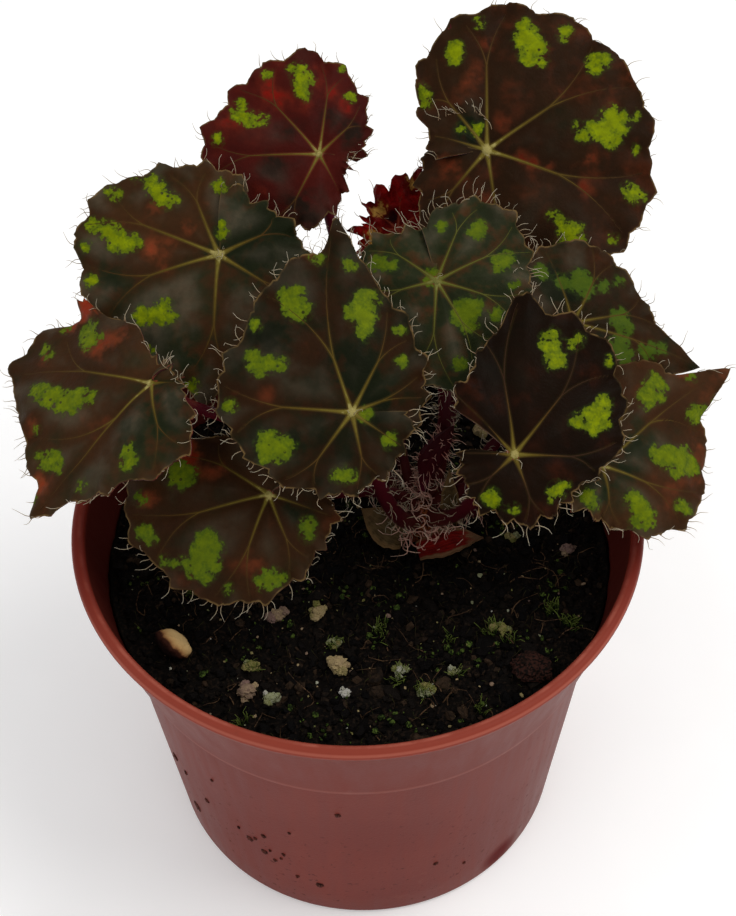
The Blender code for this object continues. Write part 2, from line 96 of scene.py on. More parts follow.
def make_camera():
    data = bpy.data.cameras.new("camera")
    data.sensor_width = FILM_WIDTH
    data.lens = FOCAL_PIXELS / PICTURE_HEIGHT * FILM_WIDTH
    data.clip_start = 0.01
    data.clip_end = 10.0
    camera = bpy.data.objects.new("camera", data)
    matrix = camera.matrix_world.copy()
    for row in range(3):
        matrix[row][0] = CAMERA_RIGHT[row]
        matrix[row][1] = CAMERA_UP[row]
        matrix[row][2] = -CAMERA_FORWARD[row]
        matrix[row][3] = CAMERA_AT[row] * MM
    camera.matrix_world = matrix
    bpy.context.scene.collection.objects.link(camera)
    bpy.context.scene.camera = camera


def make_lamp(name, place, size, power, colour):
    data = bpy.data.lights.new(name, "AREA")
    data.shape = "DISK"
    data.size = size
    data.energy = power
    data.color = colour
    lamp = bpy.data.objects.new(name, data)
    lamp.location = place
    lamp.rotation_euler = (LAMPS_LOOK_AT - Vector(place)).to_track_quat("-Z", "Y").to_euler()
    bpy.context.scene.collection.objects.link(lamp)


make_camera()
make_lamp("window", (0.55, -0.05, 0.95), 0.7, 4.8, (1.0, 0.985, 0.96))
make_lamp("room", (-0.7, -0.55, 0.7), 0.9, 1.7, (0.95, 0.98, 1.0))
world = bpy.data.worlds.new("pale room")
world.use_nodes = True
sky = world.node_tree.nodes["Background"].inputs
sky["Color"].default_value = (1.0, 1.0, 1.0, 1.0)
sky["Strength"].default_value = SKY_STRENGTH
bpy.context.scene.world = world
bpy.context.scene.view_settings.view_transform = "Standard"
print("lens in mm:", round(bpy.context.scene.camera.data.lens, 1), "lamps:", len(bpy.data.lights))

# %% [markdown]
# Building node trees from code.
# Shaders and Geometry Nodes are both trees of nodes. add() makes one node, sets its options, and
# feeds its inputs either with a plain value or with another node's output. new_tree() makes a tree
# or group with named inputs and outputs, so that each size stays open to a reader who opens it.

# %% Helpers for node trees
SOCKETS = {
    "mesh": "NodeSocketGeometry",
    "number": "NodeSocketFloat",
    "count": "NodeSocketInt",
    "colour": "NodeSocketColor",
    "finish": "NodeSocketMaterial",
}
SORT_OF = {float: "number", int: "count", tuple: "colour"}


def feed(tree, made, feeds):
    """Links each named input to another node's output, or gives it a plain value."""
    for label, value in (feeds or {}).items():
        if isinstance(value, bpy.types.NodeSocket):
            tree.links.new(value, made.inputs[label])
        else:
            made.inputs[label].default_value = value
    return made


def add(tree, kind, feeds=None, **options):
    made = tree.nodes.new(kind)
    for option, value in options.items():
        setattr(made, option, value)
    return feed(tree, made, feeds)


def new_tree(name, kind, takes, gives):
    """A tree with named inputs and outputs. It returns the tree, its input sockets and its output node.

    takes holds the usual value of each input, or its sort where there is no usual value.
    """
    tree = bpy.data.node_groups.new(name, kind)
    for label, value in takes.items():
        sort = SORT_OF.get(type(value), value)
        socket = tree.interface.new_socket(name=label, in_out="INPUT", socket_type=SOCKETS[sort])
        if sort != value:
            socket.default_value = value
    for label, sort in gives.items():
        tree.interface.new_socket(name=label, in_out="OUTPUT", socket_type=SOCKETS[sort])
    return tree, tree.nodes.new("NodeGroupInput").outputs, tree.nodes.new("NodeGroupOutput")


def group_node(tree, group, feeds=None):
    kind = "ShaderNodeGroup" if tree.bl_idname == "ShaderNodeTree" else "GeometryNodeGroup"
    made = tree.nodes.new(kind)
    made.node_tree = group
    return feed(tree, made, feeds)


def give(tree, result, **answers):
    """Links a tree's answers to its outputs."""
    for label, value in answers.items():
        tree.links.new(value, result.inputs[label])


print("kinds of socket:", len(SOCKETS))

# %% [markdown]
# Sums in node trees.
# A pattern is mostly sums on numbers and colours. Each helper here adds the one node that does its
# sum and returns its output, so a pattern reads almost like a formula.

# %% Helpers for sums, noise and readings
def maths(tree, operation, first, second=0.0, third=0.0, clamp=False):
    feeds = {0: first, 1: second, 2: third}
    return add(tree, "ShaderNodeMath", feeds, operation=operation, use_clamp=clamp).outputs[0]


def times(tree, first, second, clamp=False):
    return maths(tree, "MULTIPLY", first, second, clamp=clamp)


def times_plus(tree, value, factor, more):
    return maths(tree, "MULTIPLY_ADD", value, factor, more)


def minus(tree, first, second):
    return maths(tree, "SUBTRACT", first, second)


def distance(tree, value, middle):
    """How far a number is from a middle value, either way."""
    return maths(tree, "ABSOLUTE", minus(tree, value, middle))


def scaled(tree, vector, amount):
    """A colour made lighter or darker, or a direction made longer or shorter."""
    return add(tree, "ShaderNodeVectorMath", {0: vector, "Scale": amount}, operation="SCALE").outputs[0]


def blend(tree, share, first, second):
    """Mixes two colours."""
    return add(tree, "ShaderNodeMix", {0: share, 6: first, 7: second}, data_type="RGBA").outputs[2]


def ramp(tree, value, low, high, start=0.0, end=1.0):
    """A soft step: start at low, end at high."""
    feeds = {"Value": value, "From Min": low, "From Max": high, "To Min": start, "To Max": end}
    return add(tree, "ShaderNodeMapRange", feeds, interpolation_type="SMOOTHSTEP").outputs["Result"]


def own_place(tree):
    """Where a point is, in the piece's own coordinates."""
    return add(tree, "ShaderNodeTexCoord").outputs["Object"]


def clouds(tree, scale, detail, roughness=0.5, place=None):
    """Cloudy noise of a given scale, on the piece's own coordinates if no other place is given."""
    place = own_place(tree) if place is None else place
    feeds = {"Vector": place, "Scale": scale, "Detail": detail, "Roughness": roughness}
    return add(tree, "ShaderNodeTexNoise", feeds).outputs["Fac"]


def lumps_of(size):
    """The noise scale that makes lumps of the given size in millimetres."""
    return 1.0 / (size * MM)


def grain(tree, size, detail=2.0, roughness=0.5):
    """Cloudy noise with lumps of the given size in millimetres."""
    return clouds(tree, lumps_of(size), detail, roughness)


def centred_grain(tree, size, detail, strength):
    """The same noise about zero, made stronger."""
    return times(tree, minus(tree, grain(tree, size, detail), 0.5), strength)


def reading(tree, name):
    """A number that each point of the mesh carries."""
    return add(tree, "ShaderNodeAttribute", attribute_name=name).outputs["Fac"]


print("noise scale for lumps of 2 mm:", lumps_of(2.0))

# %% [markdown]
# Finishes that several pieces share.
# Living and dusty things are never one colour. The mottle group lays a second and a third colour
# over a base in clouds of two sizes, and also gives a height for the Bump node. Soil, algae, bark,
# the crown and the undersides of the leaves all use it with their own colours and sizes. It is a
# group, because a change to it then reaches every finish at once.

# %% The mottle group
def make_mottle():
    takes = {
        "Base": (0.5, 0.5, 0.5, 1.0),
        "Cloud": (0.4, 0.4, 0.4, 1.0),
        "Fleck": (0.2, 0.2, 0.2, 1.0),
        "Cloud Scale": 300.0,
        "Fleck Scale": 1500.0,
        "Cloud Share": 0.5,
        "Fleck Share": 0.3,
    }
    gives = {"Colour": "colour", "Height": "number"}
    tree, given, result = new_tree("mottle", "ShaderNodeTree", takes, gives)
    colour = given["Base"]
    fields = {}
    place = own_place(tree)
    for layer, detail, softness in (("Cloud", 3.0, 0.16), ("Fleck", 4.0, 0.07)):
        fields[layer] = clouds(tree, given[layer + " Scale"], detail, place=place)
        edge = minus(tree, 0.75, times(tree, given[layer + " Share"], 0.5))
        mask = ramp(tree, fields[layer], minus(tree, edge, softness), edge)
        colour = blend(tree, mask, colour, given[layer])
    height = times_plus(tree, fields["Cloud"], 0.6, times(tree, fields["Fleck"], 0.4))
    give(tree, result, Colour=colour, Height=height)
    return tree


mottle = make_mottle()


def finish(name, roughness=0.5, sheen=0.0, specular=0.06):
    """An empty material with its shader, ready for its colour and bump."""
    made = bpy.data.materials.new(name)
    made.use_nodes = True
    shader = made.node_tree.nodes["Principled BSDF"]
    shader.inputs["Roughness"].default_value = roughness
    shader.inputs["Specular IOR Level"].default_value = specular
    shader.inputs["Sheen Weight"].default_value = sheen
    return made, made.node_tree, shader


def bump(tree, shader, height, depth):
    """Relief of the given depth in millimetres, from a height of 0 to 1."""
    made = add(tree, "ShaderNodeBump", {"Height": height, "Distance": depth * MM, "Strength": 1.0})
    tree.links.new(made.outputs["Normal"], shader.inputs["Normal"])


def group_finish(name, group, feeds, depth, **gloss):
    """A material whose colour and relief, and roughness where the group gives it, come from a group."""
    made, tree, shader = finish(name, **gloss)
    pattern = group_node(tree, group, feeds)
    tree.links.new(pattern.outputs["Colour"], shader.inputs["Base Color"])
    if "Roughness" in pattern.outputs:
        tree.links.new(pattern.outputs["Roughness"], shader.inputs["Roughness"])
    bump(tree, shader, pattern.outputs["Height"], depth)
    return made


def mottled(name, base, cloud, fleck, sizes, shares=(0.5, 0.3), roughness=0.6, depth=0.1, sheen=0.0):
    """A finish made of the mottle group. sizes are the lumps of cloud and fleck in millimetres."""
    feeds = {
        "Base": paint(*base),
        "Cloud": paint(*cloud),
        "Fleck": paint(*fleck),
        "Cloud Scale": lumps_of(sizes[0]),
        "Fleck Scale": lumps_of(sizes[1]),
        "Cloud Share": shares[0],
        "Fleck Share": shares[1],
    }
    return group_finish(name, mottle, feeds, depth, roughness=roughness, sheen=sheen)


print("nodes in the mottle group:", len(mottle.nodes))

# %% [markdown]
# The leaf's upper face.
# On the real leaf the lime blotches have ragged edges, as if the dark layer over them had been
# torn. A texture drawn by hand would be blurred up close. Instead every point of the blade carries
# how deep it lies inside a blotch, in millimetres, and the shader adds noise to that depth before
# it cuts it at zero. The torn edge is then sharp at any distance. Other numbers that a point
# carries are its distance from a vein and from the margin, and how red or green the blade is there.

# %% The leaf pattern group
def make_leaf_pattern():
    takes = {
        "Green Black": paint(25, 29, 14),
        "Brown": paint(42, 24, 10),
        "Rust": paint(88, 40, 20),
        "Red": paint(104, 31, 12),
        # The grey of the painted sheen between the veins.
        "Bloom": paint(62, 57, 45),
        "Lime": paint(110, 122, 3),
        "Deep Lime": paint(50, 70, 18),
        "Vein": paint(88, 72, 28),
        "Margin": paint(106, 84, 50),
    }
    gives = {"Colour": "colour", "Height": "number", "Roughness": "number"}
    tree, given, result = new_tree("leaf pattern", "ShaderNodeTree", takes, gives)
    # Red and green stains, broken up so that none of them is a round spot.
    broken = ramp(tree, grain(tree, 2.4, 3.0), 0.3, 0.7, 0.4, 1.6)
    warmth = times(tree, reading(tree, "warmth"), broken)
    drift = times_plus(tree, minus(tree, grain(tree, 5.0, 3.0), 0.5), 1.3, warmth)
    colour = blend(tree, ramp(tree, drift, 0.05, 0.75), given["Brown"], given["Rust"])
    colour = blend(tree, ramp(tree, drift, 0.5, 1.25), colour, given["Red"])
    colour = blend(tree, ramp(tree, drift, 0.05, -0.7), colour, given["Green Black"])
    # A painted grey sheen lies on the raised panels between the veins.
    away = reading(tree, "vein")
    painted_sheen = times(tree, ramp(tree, away, 0.5, 3.2), ramp(tree, grain(tree, 7.0, 3.0), 0.38, 0.66, 0.05, 0.6))
    painted_sheen = times(tree, painted_sheen, ramp(tree, reading(tree, "warmth"), 0.25, -0.2, 0.05, 1.0))
    colour = blend(tree, painted_sheen, colour, given["Bloom"])
    # Fine and coarse shading, the leaf's own shade, and deeper tone where it is green-black.
    shade = times_plus(tree, grain(tree, 0.9, 4.0), 0.4, 0.8)
    shade = times(tree, shade, times_plus(tree, grain(tree, 12.0, 2.0), 1.0, 0.5))
    shade = times(tree, shade, reading(tree, "shade"))
    shade = times(tree, shade, ramp(tree, drift, -0.9, 0.0, 0.66, 1.0))
    darker = scaled(tree, colour, shade)
    # The lime blotches: depth inside the blotch, torn by coarse and fine noise.
    depth = reading(tree, "patch")
    near = ramp(tree, depth, -1.5, 0.1)
    coarse = centred_grain(tree, 1.4, 1.0, 3.4)
    fine = centred_grain(tree, 0.45, 1.0, 1.6)
    torn = times_plus(tree, maths(tree, "ADD", coarse, fine), near, depth)
    # Small dark dots are left in a blotch, but not deep inside it.
    dots = add(tree, "ShaderNodeTexVoronoi", {"Vector": own_place(tree), "Scale": lumps_of(2.0)})
    dot_mask = ramp(tree, dots.outputs["Distance"], 0.1, 0.18)
    dot_mask = maths(tree, "MAXIMUM", dot_mask, ramp(tree, torn, 1.1, 1.8))
    lime_mask = times(tree, ramp(tree, torn, -0.35, 0.05), dot_mask)
    darker = blend(tree, ramp(tree, torn, -1.0, 0.1, 0.0, 0.4), darker, given["Deep Lime"])
    glow = times(tree, reading(tree, "glow"), times_plus(tree, grain(tree, 0.9, 3.0), 0.9, 0.55))
    glow = times(tree, glow, ramp(tree, torn, 0.0, 1.1, 0.5, 1.0), clamp=True)
    lime = scaled(tree, given["Lime"], times_plus(tree, grain(tree, 1.6, 4.0), 1.1, 0.48))
    patterned = blend(tree, lime_mask, darker, blend(tree, glow, given["Deep Lime"], lime))
    # A narrow pale line beside each vein, stronger near the hub, and a pale margin.
    strength = ramp(tree, reading(tree, "share"), 0.05, 0.7, 0.75, 0.1)
    halo = times(tree, ramp(tree, away, -0.05, 0.3, 1.0, 0.0), strength)
    patterned = blend(tree, halo, patterned, given["Vein"])
    rim = ramp(tree, reading(tree, "rim"), 0.08, 0.4, 1.0, 0.0)
    rim = times(tree, rim, ramp(tree, grain(tree, 2.5, 1.0), 0.4, 0.6, 0.15, 0.85))
    patterned = blend(tree, rim, patterned, given["Margin"])
    height = times_plus(tree, grain(tree, 2.2, 2.0), 1.4, times(tree, grain(tree, 0.4, 3.0), 0.6))
    gloss = times_plus(tree, grain(tree, 3.0, 2.0), 0.3, 0.36)
    give(tree, result, Colour=patterned, Height=height, Roughness=gloss)
    return tree


leaf_pattern = make_leaf_pattern()
print("nodes in the leaf pattern:", len(leaf_pattern.nodes))

# %% [markdown]
# Three kinds of leaf.
# Most leaves wear the pattern's own colours. The leaf at the back left is redder, and the young one
# is crimson with pale straw marks. Each kind is the same group with other colours, so all of them
# tear and shade alike.

# %% Finishes of the blades
def leaf_finish(name, depth, **colours):
    """The leaf pattern set into a material, with the colours that this kind of leaf has of its own."""
    feeds = {label.replace("_", " "): paint(*colour) for label, colour in colours.items()}
    return group_finish(name, leaf_pattern, feeds, depth, roughness=0.45, specular=0.03)


blade_finishes = {
    "plain": leaf_finish("leaf upper face", 0.12),
    "red": leaf_finish(
        "red leaf upper face", 0.12, Brown=(60, 15, 10), Rust=(84, 24, 14), Red=(108, 18, 9),
        Bloom=(62, 46, 38), Green_Black=(38, 24, 16), Vein=(104, 60, 30),
    ),
    "young": leaf_finish(
        "young leaf upper face", 0.3, Brown=(88, 8, 7), Rust=(112, 10, 8), Red=(132, 12, 8),
        Bloom=(96, 16, 14), Green_Black=(34, 4, 5), Lime=(176, 140, 66), Deep_Lime=(120, 66, 30),
        Vein=(120, 44, 22), Margin=(124, 40, 26),
    ),
}
leaf_under = mottled(
    "leaf underside", (86, 22, 18), (58, 14, 14), (112, 52, 34), (4.0, 0.8), (0.5, 0.25), 0.55, 0.12, 0.1
)
print("kinds of blade:", ", ".join(blade_finishes))

# %% [markdown]
# Veins, stalks and hairs.
# The veins start pale straw at the hub and turn to dull red-brown near the margin, so their colour
# follows the number that says how far out each point lies. The stalks are dark maroon and the
# hairs are pale and a little translucent, which a light, rough finish shows well enough. A clean
# run of colour would look printed, so the drift group shifts it by soft clouds.

# %% The drift group and the finishes that run along a piece
def make_drift():
    takes = {"Value": 0.0, "Cloud Scale": 500.0, "Relief Scale": 1250.0}
    tree, given, result = new_tree("drift", "ShaderNodeTree", takes, {"Place": "number", "Height": "number"})
    cloud = times(tree, minus(tree, clouds(tree, given["Cloud Scale"], 3.0), 0.5), 0.35)
    place = maths(tree, "ADD", given["Value"], cloud, clamp=True)
    give(tree, result, Place=place, Height=clouds(tree, given["Relief Scale"], 3.0))
    return tree


drift_group = make_drift()


def along_finish(name, stops, roughness, lump, depth, attribute="share", tints=()):
    """A finish whose colour runs through the stops as the attribute goes from 0 to 1."""
    made, tree, shader = finish(name, roughness)
    feeds = {
        "Value": reading(tree, attribute),
        "Cloud Scale": lumps_of(lump),
        "Relief Scale": lumps_of(lump * 0.4),
    }
    drift = group_node(tree, drift_group, feeds)
    run = add(tree, "ShaderNodeValToRGB", {"Fac": drift.outputs["Place"]})
    marks = run.color_ramp.elements
    for mark, (position, colour) in ((marks[0], stops[0]), (marks[1], stops[-1])):
        mark.position = position
        mark.color = paint(*colour)
    for position, colour in stops[1:-1]:
        marks.new(position).color = paint(*colour)
    result = run.outputs["Color"]
    for low, high, tint in tints:
        result = blend(tree, ramp(tree, reading(tree, "warmth"), low, high, 0.0, 0.6), result, paint(*tint))
    tree.links.new(result, shader.inputs["Base Color"])
    bump(tree, shader, drift.outputs["Height"], depth)
    return made


vein_finish = along_finish(
    "leaf vein",
    ((0.0, (152, 140, 82)), (0.08, (102, 90, 32)), (0.3, (84, 69, 19)), (0.65, (68, 46, 16)),
     (1.0, (46, 27, 14))),
    0.5, 1.2, 0.04, tints=((0.2, 0.9, (104, 50, 28)), (-0.2, -0.5, (80, 90, 34))),
)
young_vein_finish = along_finish(
    "young leaf vein", ((0.0, (120, 52, 36)), (1.0, (86, 14, 12))), 0.5, 1.2, 0.04
)
stalk_finish = along_finish(
    "leaf stalk", ((0.0, (70, 26, 20)), (0.25, (58, 10, 18)), (0.8, (72, 12, 22)), (1.0, (104, 54, 34))),
    0.45, 1.6, 0.05,
)
hair_finish = along_finish(
    "plant hair", ((0.0, (128, 100, 76)), (0.4, (158, 144, 118)), (1.0, (186, 176, 156))), 0.5, 2.0, 0.01
)
crown_hair_finish = along_finish(
    "crown hair", ((0.0, (150, 84, 72)), (0.4, (196, 148, 130)), (1.0, (214, 180, 160))), 0.5, 2.0, 0.01
)
print("finishes so far:", len(bpy.data.materials))

# %% [markdown]
# The blade as a rule.
# Each leaf was measured in its own plane: where its hub is, how it leans, and how far its margin
# is from the hub every 30 degrees. Those numbers are the same ones that made the CAD solid, so the
# finer blade here lies in the same place. The marks on the blade are given in the same way, by an
# angle from the leaf's middle and a distance from the hub: veins with their forks, lime blotches,
# and redder (above 0) or greener (below 0) stains. look holds the warmth of the whole blade, how
# bright its lime is, and its shade.

# %% What each leaf looks like
USUAL = {"tips": (), "bow": (0.9, 0.7), "wave": 1.0, "notch": 181, "hairs": 1.0, "skin": "plain", "fade": 1.0}


def leaf(number, hub, lean, toward, aim, reach, foot, look, veins, patches, stains, **own):
    """One leaf's numbers by name. What a leaf doesn't say of its own is the same for all."""
    return {
        **USUAL,
        **own,
        "name": f"leaf_{number:02d}",
        "number": number,
        "hub": np.array(hub, float),
        "lean": math.radians(lean),
        "toward": math.radians(toward),
        "aim": math.radians(aim),
        "reach": np.array(reach, float),
        "foot": foot,
        "look": look,
        "veins": veins,
        "patches": patches,
        "stains": stains,
        "slot": "young_leaf" if own.get("skin") == "young" else "leaf",
    }


LEAVES = (
    leaf(
        1, (24.8, 45, 119), 38, -95, 0, (10, 13, 18, 19, 22, 29.5, 28.4, 28.4, 27.2, 24.6, 18.8, 11, 10),
        (68, 24),
        look=(0.12, 0.95, 0.78), hairs=0.3, tips=((-43, 2, 14),),
        veins=((88, 15, (80, 97)), (32, 13, (22, 43)), (-22, 13, (-10, -34)), (-84, 11, (-74, -94)),
            (-132, 9, (-124, -142)), (163, 6, ()), (126, 11, (116, 136))),
        patches=((105, 18.7, 1.4), (107, 17.3, 1), (71, 23.2, 1.3), (68, 21, 2.3), (63, 20.2, 2),
            (64, 18.4, 1.6), (56, 18.3, 0.8), (55, 25.6, 1), (54, 24.2, 0.6), (91, 22.8, 0.8),
            (37, 24.6, 1.4), (35, 23.4, 0.9), (35, 26.2, 0.9), (12, 22.6, 2), (7, 23.3, 1.4), (7, 20.7, 2),
            (2, 21.9, 1.4), (8, 18.9, 1.2), (6, 17, 1.2), (12, 16.2, 0.5), (11, 26.7, 0.6), (-2, 26, 0.5),
            (-19, 26.6, 1.4), (-19, 28, 0.7), (-17, 25.2, 0.6), (-49, 16.1, 0.6), (-48, 17.8, 0.8),
            (-49, 20, 1.2), (-45, 21.2, 1.2), (-50, 22, 1.8), (-50, 23.8, 1.3), (-56, 21.2, 0.5),
            (-38, 26.9, 0.7), (135, 15, 0.9), (138, 13.7, 0.8), (133, 16.1, 0.5), (111, 3.9, 0.9),
            (137, 5.9, 0.6)),
        stains=((95, 14, 1.5, 0.45), (105, 12, 1.4, 0.3), (88, 19, 1.3, 0.4), (-17, 6, 1.2, 0.9),
            (-20, 8.5, 1.1, 0.9), (125, 5, 3.0, -0.9), (-18, 11, 1.0, 0.6), (35, 15, 1.3, 0.4),
            (55, 5, 1.5, 0.4), (-8, 18, 1.3, 0.7), (-101, 9, 2.0, 0.35), (-156, 7, 1.8, 0.4),
            (-25, 18, 1.5, 0.5), (26, 29, 2.0, 0.5), (20, 13, 4.5, -0.3), (-67, 13, 3.0, -0.2)),
    ),
    leaf(
        2, (-4.4, 45, 119.3), 39, -80, -177, (8, 9.5, 13.8, 17.8, 18.2, 18.7, 20.5, 16, 14.3, 10.8, 7, 5, 6),
        (108, 24),
        look=(0.1, 0.95, 1.0), hairs=0.4, skin="red",
        veins=((-102, 11, (-96, -112)), (-52, 11, (-44, -70)), (-1, 12, (-9, 9)), (59, 11, (50, 68)),
            (-141, 7, (-133, -150)), (115, 4, ())),
        patches=((-77, 15.5, 0.8), (-82, 14.9, 1.1), (-86, 13.6, 1.2), (-80, 13.3, 1), (-79, 11.6, 1.1),
            (-79, 10.2, 0.6), (-37, 16.4, 0.7), (-31, 15.7, 1.2), (-29, 14, 1.2), (-32, 12.8, 0.9),
            (-35, 11.3, 0.7), (-61, 16.7, 0.7), (-109, 16.4, 0.5), (-122, 12, 0.8), (-11, 17.8, 0.8)),
        stains=((-56, 14, 1.8, 0.8), (-60, 11, 1.5, 0.7), (-104, 11, 1.6, 0.6), (-122, 10, 1.5, 1.0),
            (-92, 14, 1.8, 0.7), (-23, 17, 2.0, 0.5), (-80, 8, 2.0, 0.4), (13, 8.5, 2.4, -0.8),
            (-107, 7.5, 2.2, -0.5), (71, 10, 3.5, -0.9), (-147, 6.5, 2.6, -0.9), (-36, 7, 2.2, -0.4),
            (30, 11.5, 2.0, 0.4)),
    ),
    leaf(
        3, (-22.1, 26, 113.5), 37, -100, -105, (14, 15.8, 19.8, 24.6, 24, 21.6, 22, 21, 17, 15, 13, 11, 13),
        (140, 24),
        look=(-0.15, 0.88, 1.58), hairs=0.7, tips=((-96, 1.5, 8), (5, 4, 12)),
        veins=((-100, 14, (-92, -108)), (-145, 10, (-136, -157)), (-62, 12, (-50, -76)), (9, 12, (-3, 17)),
            (70, 9, (60, 80)), (125, 8, (116, 135))),
        patches=((-93, 22.9, 0.9), (-92, 21.3, 1.2), (-91, 19.4, 1.5), (-87, 18.3, 1.5), (-85, 16.8, 1.4),
            (-87, 15.2, 1.2), (-86, 14, 0.6), (-127, 17.7, 0.9), (-124, 16.1, 1.5), (-124, 14.2, 1.6),
            (-123, 12.9, 0.9), (-129, 12.2, 0.7), (-109, 22.3, 0.7), (-109, 21, 0.7), (-121, 20, 0.5),
            (-168, 11.9, 1.2), (179, 3.6, 0.8), (-175, 4.8, 0.4), (-40, 16.6, 1.4), (-36, 15.3, 1.4),
            (-31, 13.8, 1.5), (-24, 13.2, 1), (-35, 12.2, 0.8), (-68, 22.6, 1), (-83, 23.3, 0.6),
            (1, 22.8, 1.1), (-23, 19.6, 0.5)),
        stains=((-82, 12, 2.2, 0.5), (-62, 10, 1.8, 0.45), (-122, 7, 2.4, 0.55), (-96, 18, 2.5, 0.3),
            (-114, 14, 2.5, 0.5), (-88, 9, 3.0, 0.3), (122, 9, 8.0, -0.7), (-26, 19, 4.0, -0.6),
            (-7, 19, 4.0, -0.5), (-65, 19, 3.0, -0.4)),
    ),
    leaf(
        4, (-33.1, 1.5, 108.4), 30, -150, -149, (4, 4, 5, 17, 28.5, 25.5, 25.5, 18.5, 15.5, 11.5, 6, 4, 4),
        (162, 50),
        look=(-0.05, 0.6, 1.5), hairs=0.5, bow=(1.0, 1.0),
        tips=((-52, 3.5, 12), (2, 5, 10), (-85, 5.5, 4), (-82, 5, 4), (-68, 2.8, 9)),
        veins=((-58, 14, (-53, -74)), (4, 8, (3, -27)), (66, 8, (56, 78)), (130, 3, ())),
        patches=((-81, 19.4, 1.4), (-78, 17.4, 1.7), (-75, 16, 0.9), (-82, 15.3, 0.6), (-85, 18.4, 0.8),
            (-65, 25.8, 1), (-63, 24, 0.7), (-76, 24.8, 0.8), (-47, 23.7, 0.9), (-45, 22.2, 1.4),
            (-42, 19.5, 1.9), (-36, 16.3, 2), (-36, 13.5, 1.8), (-33, 10.8, 1), (-29, 14.9, 0.8),
            (-13, 22.6, 1.3), (-9, 21, 1.5), (-4, 20.6, 0.8), (-16, 23.4, 0.5), (39, 12.2, 1.1),
            (42, 13.7, 1), (39, 14.6, 0.5), (14, 19.9, 0.8), (-28, 22.6, 0.4), (-3, 27.4, 0.5)),
        stains=((-88, 24, 2.4, 1.8), (-78, 24, 1.6, 0.9), (-74, 16, 2.2, 0.4), (-98, 11, 2.5, 0.4),
            (-61, 25, 2.2, 0.5), (-5, 25, 2.5, 0.5), (-31, 23, 2.2, 0.4), (93, 6, 5.0, -0.6),
            (49, 9, 5.0, -0.5), (-79, 13, 2.4, 0.5)),
    ),
    leaf(
        5, (-0.3, -5, 106.2), 38, -90, 166, (10, 12, 15, 20, 26, 22, 22, 18, 15, 13, 11, 10, 10), (243, 36),
        look=(-0.22, 0.54, 0.88), hairs=0.85, tips=((-76, 3, 16), (-72, 7, 7)),
        veins=((-62, 9, (-74, -45)), (-108, 9, (-100, -118)), (5, 11, (-3, 19)), (63, 9, (54, 72)),
            (111, 8, (103, 121)), (-150, 5, (-142, -158)), (155, 6, ())),
        patches=((-52, 21.7, 1.2), (-56, 21.2, 1.1), (-53, 19.7, 1.7), (-54, 18, 1.2), (-50, 19, 0.8),
            (-59, 18.8, 0.6), (-93, 18.8, 0.7), (-88, 18.7, 1.3), (-84, 16.9, 1.5), (-89, 15.7, 1.7),
            (-88, 13.8, 1.2), (-90, 12.4, 0.6), (-80, 16, 0.7), (-20, 18.4, 1), (-17, 16.8, 1.3),
            (-21, 15.4, 1.3), (-25, 13.9, 1), (32, 14.4, 2), (36, 13.1, 1.8), (25, 14.3, 0.9),
            (36, 11.3, 0.9), (37, 16, 0.7), (-68, 25.9, 1), (-80, 24, 1), (-111, 15.4, 0.7), (-33, 21, 0.8),
            (6, 19.5, 0.9), (-125, 11.3, 0.8), (153, 7.4, 1.1), (86, 10.4, 0.8), (95, 10, 1.1), (179, 2, 1)),
        stains=((-36, 18, 3.0, -0.6), (-48, 12, 2.4, 0.5), (-4, 14, 2.8, 0.45), (1, 19, 1.8, 0.4),
            (-82, 7, 3.5, -0.7), (38, 9, 3.0, -0.2), (-116, 13, 2.0, 0.3), (-148, 5, 3.0, -0.6),
            (-67, 27, 2.0, 0.8)),
    ),
    leaf(
        6, (-14.8, -8, 90.6), 32, -110, -147, (6, 6, 7, 10, 19, 25, 22.3, 19.7, 16.3, 12.8, 12, 8, 6),
        (208, 62),
        look=(0.02, 0.4, 1.12), hairs=0.75, bow=(1.1, 1.0),
        veins=((-20, 12, (-27, -6)), (-66, 9, (-56, -78)), (37, 9, (28, 46)), (79, 8, (70, 88)),
            (126, 5, ())),
        patches=((-50, 16.5, 1.5), (-47, 14.7, 1.6), (-43, 16.4, 1), (-49, 13.4, 0.7), (-41, 15.2, 0.8),
            (-33, 21.9, 1), (-18, 22.1, 1.3), (-14, 21.5, 0.8), (4, 13, 2), (9, 15.1, 2.2), (16, 14.8, 1.6),
            (10, 17.4, 1.5), (19, 17.1, 0.9), (5, 17.3, 0.7), (13, 11.8, 0.8), (-3, 21.3, 0.7),
            (1, 19.4, 0.6), (34, 17.1, 0.6), (58, 14.2, 1.6), (52, 14.8, 0.9), (65, 14.1, 0.7),
            (107, 8.8, 1.2), (99, 9.7, 0.8)),
        stains=((-62, 16, 2.6, 1.0), (-54, 18, 2.2, 0.8), (-58, 10, 2.4, 0.4), (17, 6, 4.0, -0.1),
            (118, 6, 2.5, -0.4), (-32, 20, 1.8, 0.5), (48, 12, 2.0, 0.3)),
    ),
    leaf(
        7, (14.5, 18, 113.2), 34, -90, -87, (9, 10, 13, 13, 13, 14, 19, 14, 15, 16, 17, 14, 10), (40, 60),
        look=(-0.5, 0.4, 2.05),
        veins=((111, 9, (103, 121)), (152, 9, (145, 161)), (-130, 8, (-121, -139)), (-80, 6, (-70, -90)),
            (67, 8, (57, 76)), (-9, 9, (-20, 3)), (25, 8, (18, 38))),
        patches=((101, 11.5, 1.5), (103, 12.6, 1), (98, 10.5, 0.7), (136, 11, 1.5), (36, 7.4, 2.3),
            (51, 7.5, 1), (26, 7.2, 1.2), (29, 9.5, 0.9), (55, 11.4, 0.9), (9, 14.4, 1), (82, 13, 0.6),
            (-113, 9.6, 1.3), (-115, 7.9, 0.7), (-112, 10.8, 0.7), (-103, 0.9, 1.1), (-161, 1.4, 0.6),
            (170, 9, 0.7)),
